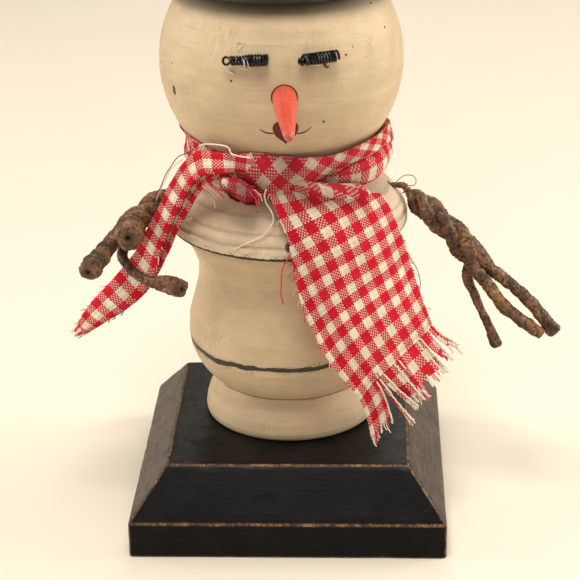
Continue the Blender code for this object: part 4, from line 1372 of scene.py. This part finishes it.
def grid_of(rows, columns, place):
    """Arrays of points and weave coordinates from place(u, v), u across and v along."""
    points = np.zeros((rows, columns, 3))
    weave = np.zeros((rows, columns, 2))
    for r in range(rows):
        for c in range(columns):
            points[r, c], weave[r, c] = place(c / (columns - 1), r / (rows - 1))
    return points, weave


def tail_edges(t):
    """First and last s of the right tail's panel at t."""
    ts, firsts, lasts = zip(*TAIL_EDGES)
    return float(np.interp(t, ts, firsts)), float(np.interp(t, ts, lasts))


def tail_top(s):
    """t where the panel comes out from under the wrap or the rolled lip."""
    return float(np.interp(s, *zip(*TAIL_TOP)))


def make_right_tail(material):
    """Panel that hangs over the belly, its rolled upper lip and the torn strips below."""
    sheets = []

    def panel(u, v):
        """Point and weave of the panel, u across and v down it."""
        first, last = tail_edges(TAIL_LENGTH * v)
        s = mix(first, last, u)
        t = mix(tail_top(s), TAIL_LENGTH, v)
        first, last = tail_edges(t)
        s = mix(first, last, u)
        return tail_point(s, t), (s, t)
    points, weave = grid_of(150, 90, panel)
    points = ruffle(points, weave, [(0.55 * MM, 1.5, 5.0), (0.22 * MM, 0.6, 1.4)], 71)
    points = push_clear(points, 0.5 * MM)
    points = ravel(points, 72)
    sheets.append((points, weave))

    def column_of(s, row=0):
        """Column of the panel's grid nearest to s in a row."""
        return int(np.argmin(abs(weave[row, :, 0] - s)))
    low, high = column_of(1.9), column_of(5.7)
    lip = []
    for c in range(low, high + 1):
        s = weave[0, c, 0]
        grown = smooth(s, 1.7, 3.0) * (1 - smooth(s, 5.0, 5.9)) * 0.85 + 0.15
        turn = math.radians(18 + 9 * s)
        out = np.array([math.sin(turn), -math.cos(turn), 0.0])
        base = points[0, c]
        lip.append([base + (np.array([0, 0, up]) + out * reach) * grown * MM
                    for up, reach in LIP_SHAPE])
    lip = catmull(np.array(lip).swapaxes(0, 1), 44)
    lengths = run_lengths(lip, 0)
    lip_weave = weave_of(lip, weave[0, low:high + 1, 0],
                         weave[0, low:high + 1, 1] - (lengths / CHECK_PERIOD)[:, None])
    lip = ruffle(lip, lip_weave, [(0.45 * MM, 1.1, 2.5)], 75)
    sheets.append((lip, lip_weave))
    along_way = points[-1] - points[-6]
    along_way /= np.linalg.norm(along_way, axis=1, keepdims=True)
    tips = []
    rows = 34
    for number, (first, last, length, lean, turn, yarns, widening) in enumerate(STRIPS):
        low = column_of(first, -1)
        high = max(column_of(last, -1), low + 3)
        base, ways = points[-1, low:high + 1], along_way[low:high + 1]
        way = ways.mean(axis=0)
        middle = base.mean(axis=0)
        strip = np.zeros((rows, high - low + 1, 3))
        for r in range(rows):
            v = r / (rows - 1)
            spin = Matrix.Rotation(math.radians(turn) * v * v, 3, Vector(way))
            centre = middle + way * length * MM * v + np.array(lean) * MM * v ** 1.7
            spread = mix(1.0, widening, v)
            for c in range(high - low + 1):
                strip[r, c] = centre + np.array(spin @ Vector(base[c] - middle)) * spread
        fall = (length * MM / CHECK_PERIOD) * np.linspace(0, 1, rows)[:, None]
        strip_weave = weave_of(strip, weave[-1, low:high + 1, 0], weave[-1, low:high + 1, 1] + fall)
        strip = ruffle(strip, strip_weave, [(0.5 * MM, 1.0, 1.2)], 80 + number)
        strip[0] = base
        sheets.append((ravel(strip, 90 + number, 0.15 * MM), strip_weave))
        tips.append((strip[-1], strip[-1] - strip[-5], yarns, strip[:, -1]))
    cloth_piece("scarf_right_tail_cloth", sheets, "scarf_right_tail",
                material)
    return points, tips


# Neck bands, in degrees and millimetres: azimuth, top z, top radius, middle radius, lower z,
# lower radius
UPPER_BAND = [
    (-275, 125.0, 31.6, 33.0, 117.0, 31.8), (-240, 126.0, 31.4, 33.0, 116.5, 31.6),
    (-205, 126.8, 31.2, 32.2, 116.0, 31.2), (-180, 127.8, 31.4, 32.0, 116.0, 31.2),
    (-160, 128.4, 31.6, 31.9, 115.5, 31.2), (-148, 127.8, 32.2, 32.6, 115.0, 31.6),
    (-138, 126.0, 32.2, 32.8, 114.6, 32.0), (-126, 124.6, 32.0, 33.0, 114.0, 32.2),
    (-117, 125.0, 32.4, 33.2, 113.8, 32.8), (-109, 126.2, 33.0, 35.8, 114.2, 34.9),
    (-100, 126.0, 33.0, 36.2, 114.8, 35.2), (-90, 125.3, 33.0, 36.6, 115.6, 35.6),
    (-80, 125.0, 33.0, 36.3, 116.6, 35.4), (-70, 124.9, 33.0, 35.7, 118.4, 34.8),
    (-60, 125.2, 33.0, 35.2, 120.0, 34.3), (-48, 125.8, 33.0, 34.7, 121.8, 34.0),
    (-38, 126.6, 33.0, 34.2, 122.7, 33.6), (-28, 127.1, 32.9, 33.6, 122.9, 33.0),
    (-15, 127.2, 32.6, 32.8, 121.5, 32.2), (5, 126.4, 31.8, 32.0, 119.0, 31.6),
    (45, 125.5, 31.4, 32.6, 117.5, 31.6), (80, 125.5, 32.2, 34.0, 117.0, 32.4),
    (96, 125.3, 32.4, 34.4, 117.2, 32.8)]
LOWER_BAND = [
    (-88, 118.5, 30.5, 31.4, 114.6, 31.0), (-76, 119.5, 31.0, 31.6, 115.0, 31.6),
    (-67, 120.5, 31.5, 32.2, 114.8, 32.2), (-58, 121.3, 32.3, 34.4, 114.6, 33.4),
    (-46, 122.4, 32.8, 35.4, 113.5, 34.0), (-31, 123.4, 32.6, 34.8, 114.1, 33.6),
    (-19, 123.6, 32.0, 33.6, 114.8, 32.6), (0, 122.0, 31.4, 32.4, 115.0, 31.6),
    (40, 120.0, 31.4, 32.8, 114.5, 31.8), (90, 119.5, 31.6, 33.4, 114.0, 32.2),
    (140, 120.0, 31.2, 32.8, 114.0, 31.8), (180, 121.0, 31.0, 32.0, 113.8, 31.2),
    (210, 120.5, 31.0, 31.8, 113.6, 31.4), (225, 119.0, 31.0, 32.4, 113.2, 31.8),
    (240, 118.0, 31.0, 33.0, 112.2, 32.2), (252, 117.5, 31.0, 33.2, 112.1, 32.6),
    (264, 117.0, 30.5, 32.6, 113.2, 32.0)]
BIAS = math.sqrt(0.5)


def band(stations, rows, seed, bias, shift=0.0):
    """Strip laid round the neck, its edges turned in and folded back once more behind.

    With bias its checks lie as diamonds, shifted by shift check periods.
    """
    centre = node_axis("lower_body")
    net = []
    for azimuth, top_z, top_r, middle_r, low_z, low_r in stations:
        turn = math.radians(azimuth)
        way = np.array([math.cos(turn), math.sin(turn), 0.0])
        section = [(top_r - 3.4, top_z - 3.9), (top_r - 1.0, top_z - 0.9), (top_r, top_z),
                   (middle_r, mix(top_z, low_z, 0.27)), (middle_r + 0.3, mix(top_z, low_z, 0.62)),
                   (low_r + 0.4, low_z + 0.4), (low_r - 1.2, low_z - 0.1),
                   (low_r - 2.6, mix(low_z, top_z, 0.35)),
                   (low_r - 3.2, mix(low_z, top_z, 0.68)), (low_r - 4.3, mix(low_z, top_z, 0.6)),
                   (low_r - 4.6, mix(low_z, top_z, 0.25)), (low_r - 4.9, low_z + 0.4),
                   (low_r - 5.7, mix(low_z, top_z, 0.3)), (low_r - 5.9, mix(low_z, top_z, 0.6))]
        net.append([np.array([centre[0], centre[1], 0.0]) + (way * r + np.array([0, 0, z])) * MM
                    for r, z in section])
    points = surface(np.array(net), rows, 64)
    lengths = run_lengths(points, 0)
    across = run_lengths(points, 1)
    s = across[None, :] / CHECK_PERIOD
    t = lengths[:, None] / CHECK_PERIOD
    if bias:
        weave = weave_of(points, (s + t) * BIAS + shift, (t - s) * BIAS + shift)
    else:
        weave = weave_of(points, s, t)
    points = ruffle(points, weave_of(points, s, t),
                    [(0.75 * MM, 0.9, 3.6), (0.4 * MM, 0.45, 1.1), (0.14 * MM, 0.25, 0.3)], seed)
    return push_clear(points, 0.35 * MM), weave


# Left tail: outer and inner edge of the part in view, and how far the layer behind shows past it
LEFT_TAIL = [
    ((-3.0, -28.6, 122.6), (-4.5, -29.0, 119.6), -1.5),
    ((-9.0, -28.6, 124.9), (-9.6, -29.4, 120.9), -1.5),
    ((-14.5, -28.0, 126.0), (-14.8, -29.6, 121.8), -1.0),
    ((-20.0, -27.0, 126.9), (-19.0, -30.2, 121.4), -0.5),
    ((-25.5, -22.9, 126.0), (-23.2, -28.6, 119.4), 0.3),
    ((-30.2, -19.4, 122.0), (-26.4, -25.9, 116.4), 0.5),
    ((-34.0, -17.8, 116.8), (-28.9, -24.2, 112.4), 0.6),
    ((-37.4, -17.8, 111.2), (-31.4, -23.2, 107.4), 0.6),
    ((-40.0, -17.8, 105.1), (-34.9, -22.2, 100.6), 0.5),
    ((-44.2, -16.8, 96.4), (-38.4, -21.6, 92.0), 0.2),
    ((-48.6, -15.6, 88.8), (-41.8, -21.6, 84.4), -1.2),
    ((-54.6, -14.4, 81.3), (-46.9, -21.6, 76.8), -1.5),
    ((-59.7, -13.3, 75.4), (-52.5, -19.6, 71.4), -1.5),
    ((-64.9, -12.2, 69.2), (-58.5, -16.6, 66.4), -1.5),
    ((-68.6, -11.3, 62.6), (-65.0, -13.0, 60.9), -1.5)]
LEFT_TAIL_COLUMNS = 84
LEFT_TAIL_FOLDS = 13
LEFT_TAIL_SHIFT = -0.15


def fold_column(number):
    """Column of the left tail's grid at one of its section's control points."""
    return int(number / LEFT_TAIL_FOLDS * (LEFT_TAIL_COLUMNS - 1))


def make_left_tail(material):
    """End of the strip, pleated lengthwise, that comes over the band and hangs to the left."""
    middles = [(np.array(a) + np.array(b)) / 2 for a, b, _ in LEFT_TAIL]
    net = []
    for k, (outer, inner, peek) in enumerate(LEFT_TAIL):
        outer, inner = np.array(outer), np.array(inner)
        ahead = middles[min(k + 1, len(middles) - 1)] - middles[max(k - 1, 0)]
        width = np.linalg.norm(inner - outer)
        w = (inner - outer) / width
        out = np.cross(ahead, w)
        out = out / np.linalg.norm(out)
        out = -out if out[1] > 0 else out
        front = 0.86 * width if peek > 0 else width
        # Across and outwards: a hidden fold, the part in view, the layer behind it, two more layers
        section = [(0.8 * width, -1.7), (1.6, -1.3), (0, 0), (0.3 * front, 0.7), (0.7 * front, 0.8),
                   (front, 0), (front - 1.8, -1.0), (0.3 * width, -1.2), (0.25 * width, -2.0),
                   (width + peek - 1.5, -1.9), (width + peek, -2.3), (0.2 * width, -3.0),
                   (0.9 * width, -3.5), (0.15 * width, -4.1)]
        net.append([outer + w * across + out * rise for across, rise in section])
    points = surface(np.array(net) * MM, 190, LEFT_TAIL_COLUMNS)
    lengths = run_lengths(points, 0)
    across = run_lengths(points, 1)
    first = across[fold_column(2)]
    weave = weave_of(points, (across - first) / CHECK_PERIOD + LEFT_TAIL_SHIFT,
                     lengths[:, None] / CHECK_PERIOD)
    points = ruffle(points, weave,
                    [(0.55 * MM, 0.8, 3.5), (0.25 * MM, 0.5, 0.9), (0.1 * MM, 0.25, 0.3)], 101)
    points = push_clear(points, 0.6 * MM)
    points = ravel(points, 102)
    cloth_piece("scarf_left_tail_cloth", [(points, weave)], "scarf_left_tail",
                material)
    return points


KNOT_AXIS = [(-18.5, -28.8, 117.8), (-15.5, -30.8, 116.8), (-11.5, -32.2, 115.8),
             (-8.6, -32.6, 115.1)]
KNOT_SHIFT = (0.93, -0.17)
KNOT_ROWS = 60
KNOT_COLUMNS = 90


def make_knot(material):
    """Rolled end of cloth where the strip is tied: a spiral of 1.8 turns, crushed and frayed."""
    axis = catmull(np.array(KNOT_AXIS) * MM, KNOT_ROWS)
    points = np.zeros((KNOT_ROWS, KNOT_COLUMNS, 3))
    for r in range(KNOT_ROWS):
        share = r / (KNOT_ROWS - 1)
        bulge = (0.72 + 0.28 * math.sin(math.pi * min(1.0, share * 1.1))
                 + 0.18 * smooth(share, 0.75, 1.0))
        for c in range(KNOT_COLUMNS):
            outwards = c / (KNOT_COLUMNS - 1)
            turn = math.radians(200 - 650 * outwards)
            way = np.array([0.25 * math.cos(turn), 0.85 * math.cos(turn), math.sin(turn)])
            points[r, c] = axis[r] + way * mix(0.8, 3.6, outwards) * bulge * MM
    weave = weave_of(points, run_lengths(points, 1) / CHECK_PERIOD + KNOT_SHIFT[0],
                     (run_lengths(points, 0) / CHECK_PERIOD)[:, None] + KNOT_SHIFT[1])
    points = ruffle(points, weave, [(1.3 * MM, 0.6, 0.6), (0.5 * MM, 0.22, 0.3)], 111)
    points = push_clear(points, 0.3 * MM)
    cloth_piece("scarf_knot_cloth", [(points, weave)], "scarf_knot",
                material)


def make_bands(material):
    """The strip's two turns round the neck."""
    upper = band(UPPER_BAND, 300, 121, True, 0.11)
    cloth_piece("scarf_upper_band_cloth", [upper], "scarf_wrap",
                material)
    lower = band(LOWER_BAND, 300, 124, False)
    cloth_piece("scarf_lower_band_cloth", [lower], None,
                material)


def loose_yarn(bm, points, radius, seed):
    """One loose yarn along a few points in metres, kept off the wood, with a slight kink."""
    line = np.array(spline(points, max(12, 7 * len(points))))
    line = push_clear(line[None], 0.5 * MM)[0]
    kinks = [Vector([grain((k * 0.35, seed, part), 1.0, seed) for part in (0, 4, 8)])
             for k in range(len(line))]
    tube(bm, [Vector(p) + kink * radius * 0.9 for p, kink in zip(line, kinks)], radius, 6, 1)


# Long loose yarns: colour, radius and places in millimetres
THREADS = [
    ("white", 0.24, [(-25.9, -22.0, 125.9), (-24.2, -24.0, 128.4), (-17.0, -29.0, 129.4),
                     (-15.1, -31.0, 127.6), (-9.8, -32.6, 127.0)]),
    ("white", 0.21, [(-26.1, -20.6, 113.6), (-24.3, -21.2, 112.4), (-22.8, -22.5, 110.9),
                     (-21.8, -23.2, 109.6), (-21.5, -23.4, 107.8)]),
    ("white", 0.24, [(-34.0, -14.1, 99.9), (-31.4, -18.0, 101.7), (-28.9, -20.9, 103.5)]),
    ("white", 0.26, [(-5.2, -32.6, 117.0), (-5.9, -31.6, 114.5), (-5.4, -30.6, 112.1),
                     (-4.3, -30.6, 110.2), (-3.4, -30.9, 108.0), (-3.8, -31.3, 105.1),
                     (-6.9, -31.8, 101.7), (-12.0, -31.0, 98.9), (-15.1, -30.0, 96.9)]),
    ("dark", 0.16, [(-27.9, -18.0, 124.6), (-29.9, -17.0, 123.4), (-33.4, -18.0, 121.7),
                    (-37.4, -18.6, 115.5), (-39.3, -18.6, 110.2), (-40.4, -18.4, 105.6)]),
    ("dark", 0.13, [(33.9, -1.0, 107.7), (35.9, -3.0, 110.4), (37.6, -4.0, 111.4),
                    (39.4, -4.0, 111.1), (40.4, -3.0, 109.4), (39.9, -2.0, 107.3),
                    (37.0, -1.0, 106.8)]),
    ("dark", 0.13, [(37.6, -17.5, 90.4), (40.3, -16.0, 85.1), (41.7, -15.0, 79.9),
                    (41.4, -15.0, 76.5)]),
    ("pink", 0.14, [(-31.2, -19.0, 122.0), (-34.6, -19.5, 119.4), (-37.6, -19.9, 114.0),
                    (-39.9, -19.6, 109.0)]),
    ("red", 0.21, [(2.0, -35.6, 97.3), (-0.4, -36.4, 92.9), (-1.1, -36.6, 85.6),
                   (-0.6, -36.2, 81.5)]),
    ("pink", 0.2, [(-24.6, -29.6, 117.0), (-22.0, -30.2, 115.4), (-20.4, -30.2, 113.4)]),
    ("pink", 0.2, [(-23.4, -30.0, 117.4), (-21.0, -30.6, 115.8), (-19.2, -30.6, 113.6)]),
    ("red", 0.2, [(-22.4, -30.2, 117.6), (-20.0, -31.0, 116.2), (-18.0, -31.0, 114.0)]),
    ("red", 0.2, [(-9.2, -34.0, 117.6), (-7.6, -34.6, 115.6), (-7.2, -34.2, 113.0)]),
    ("red", 0.19, [(-9.8, -34.6, 116.6), (-8.4, -34.8, 114.8), (-8.0, -34.2, 112.8)]),
    ("pink", 0.18, [(-8.6, -34.2, 117.4), (-6.9, -34.4, 115.8), (-6.3, -34.0, 113.8)])]


def make_threads(tips, tail, left_tail):
    """Loose and frayed yarns: the long stray ones, rolled edges of the strips, tufts at torn ends.

    tips are the strips' end points, the ways they end, a count of yarns and one side's points;
    tail and left_tail are the two tails' grids of points.
    """
    kinds = {"white": yarn_material("yarn_cream", (0.62, 0.53, 0.42), (0.86, 0.78, 0.66)),
             "red": yarn_material("yarn_red", (0.42, 0.006, 0.018), (0.68, 0.02, 0.045)),
             "pink": yarn_material("yarn_faded", (0.66, 0.20, 0.19), (0.84, 0.48, 0.42)),
             "dark": yarn_material("yarn_dark", (0.05, 0.035, 0.03), (0.12, 0.09, 0.08))}
    meshes = {kind: bmesh.new() for kind in kinds}
    for seed, (kind, radius, points) in enumerate(THREADS):
        loose_yarn(meshes[kind], vectors(points), radius * MM, seed)
    rng = random.Random(7)

    def tuft(kind, base, way, length, spread, radius):
        """A short yarn that starts in the cloth at base and leans at random."""
        out = Vector(way).normalized()
        lean = Vector((rng.uniform(-1, 1), rng.uniform(-1, 1), rng.uniform(-1, 0.6))) * spread
        base = Vector(base)
        points = [base - out * 0.8 * MM, base + out * length * 0.45 + lean * length * 0.3,
                  base + out * length + lean * length]
        loose_yarn(meshes[kind], points, radius, rng.random() * 50)
    for ends, way, count, edge in tips:
        for _ in range(count * 2):
            base = ends[int(rng.random() * (len(ends) - 1))]
            kind = rng.choice(["white", "white", "red", "pink", "red"])
            length = rng.uniform(1.0, 3.4) * MM
            tuft(kind, base, way[len(way) // 2], length, 0.35, rng.uniform(0.13, 0.2) * MM)
        rolled = [Vector(p) - Vector((0, 0.35 * MM, 0)) for p in edge[5::7]]
        rolled.append(rolled[-1] + Vector(way[-1]).normalized() * 2.2 * MM)
        loose_yarn(meshes["white"], rolled, 0.29 * MM, count)
        tuft("white", ends[len(ends) // 2], way[0], 2.4 * MM, 0.4, 0.34 * MM)
    left_edge, right_edge = (0, 2), (tail.shape[1] - 1, tail.shape[1] - 3)
    for _ in range(46):
        row = rng.randrange(4, tail.shape[0] - 2)
        side, inner = rng.choice([left_edge, right_edge, right_edge])
        fall = tail[row + 1, side] - tail[row - 1, side]
        out = tail[row, side] - tail[row, inner]
        way = out / np.linalg.norm(out) * 0.7 + fall / np.linalg.norm(fall) * rng.uniform(0.4, 1.3)
        kind = "red" if rng.random() < 0.55 else "pink"
        length = rng.uniform(0.7, 2.2) * MM
        tuft(kind, tail[row, side], way, length, 0.3, rng.uniform(0.11, 0.17) * MM)
    outer, inner = fold_column(2), fold_column(5)
    for _ in range(38):
        row = int(mix(0.62, 0.995, rng.random()) * (left_tail.shape[0] - 1)) - 1
        column = outer if rng.random() < 0.7 else inner
        fall = left_tail[row + 1, column] - left_tail[row - 1, column]
        out = left_tail[row, column] - left_tail[row, (outer + inner) // 2]
        way = out / np.linalg.norm(out) * 0.6 + fall / np.linalg.norm(fall)
        kind = rng.choice(["red", "pink", "white", "red", "dark"])
        length = rng.uniform(0.8, 2.6) * MM
        tuft(kind, left_tail[row, column], way, length, 0.4, rng.uniform(0.12, 0.19) * MM)
    for _ in range(34):
        column = rng.randrange(outer, inner + 1)
        fall = left_tail[-1, column] - left_tail[-6, column]
        kind = rng.choice(["red", "pink", "white", "red"])
        length = rng.uniform(1.2, 3.6) * MM
        tuft(kind, left_tail[-2, column], fall, length, 0.35, rng.uniform(0.13, 0.2) * MM)
    for kind, bm in meshes.items():
        make_piece("scarf_yarns_" + kind, bm, kinds[kind], "figure")


# ---------------------------------------------------------------- build

make_camera()
make_lights()
make_floor()
make_base()
make_body()
head_piece = make_head()
make_hat()
make_nose()
make_eyes()
make_glue()
make_mouth()
make_button()
twig = twig_material()
steel = steel_material("core_wire_steel", (0.10, 0.095, 0.09), (0.22, 0.21, 0.20), 0.35)
for arm_side, arm_plan in ARMS.items():
    make_arm(arm_side, arm_plan, twig, steel)

body_axis = node_axis("lower_body")
BODY_OUTLINE = (cad_outline("lower_body", body_axis, 0.6 * MM)
                + cad_outline("shoulder_cap", body_axis, 0.4 * MM))
TAIL_FINE = surface(np.array(TAIL_NET) * MM, 91, 81)
gingham = gingham_material()
make_bands(gingham)
make_knot(gingham)
tail_points, tail_tips = make_right_tail(gingham)
make_threads(tail_tips, tail_points, make_left_tail(gingham))

dowel_wood = wood_material()
for node in ("body_dowel", "neck_dowel", "hat_dowel"):
    NODES[node].data.materials[0] = dowel_wood
screw_steel = steel_material("screw_steel", (0.42, 0.40, 0.36), (0.62, 0.60, 0.55), 0.25)
for node in ("base_screw_left", "base_screw_right"):
    NODES[node].data.materials[0] = screw_steel
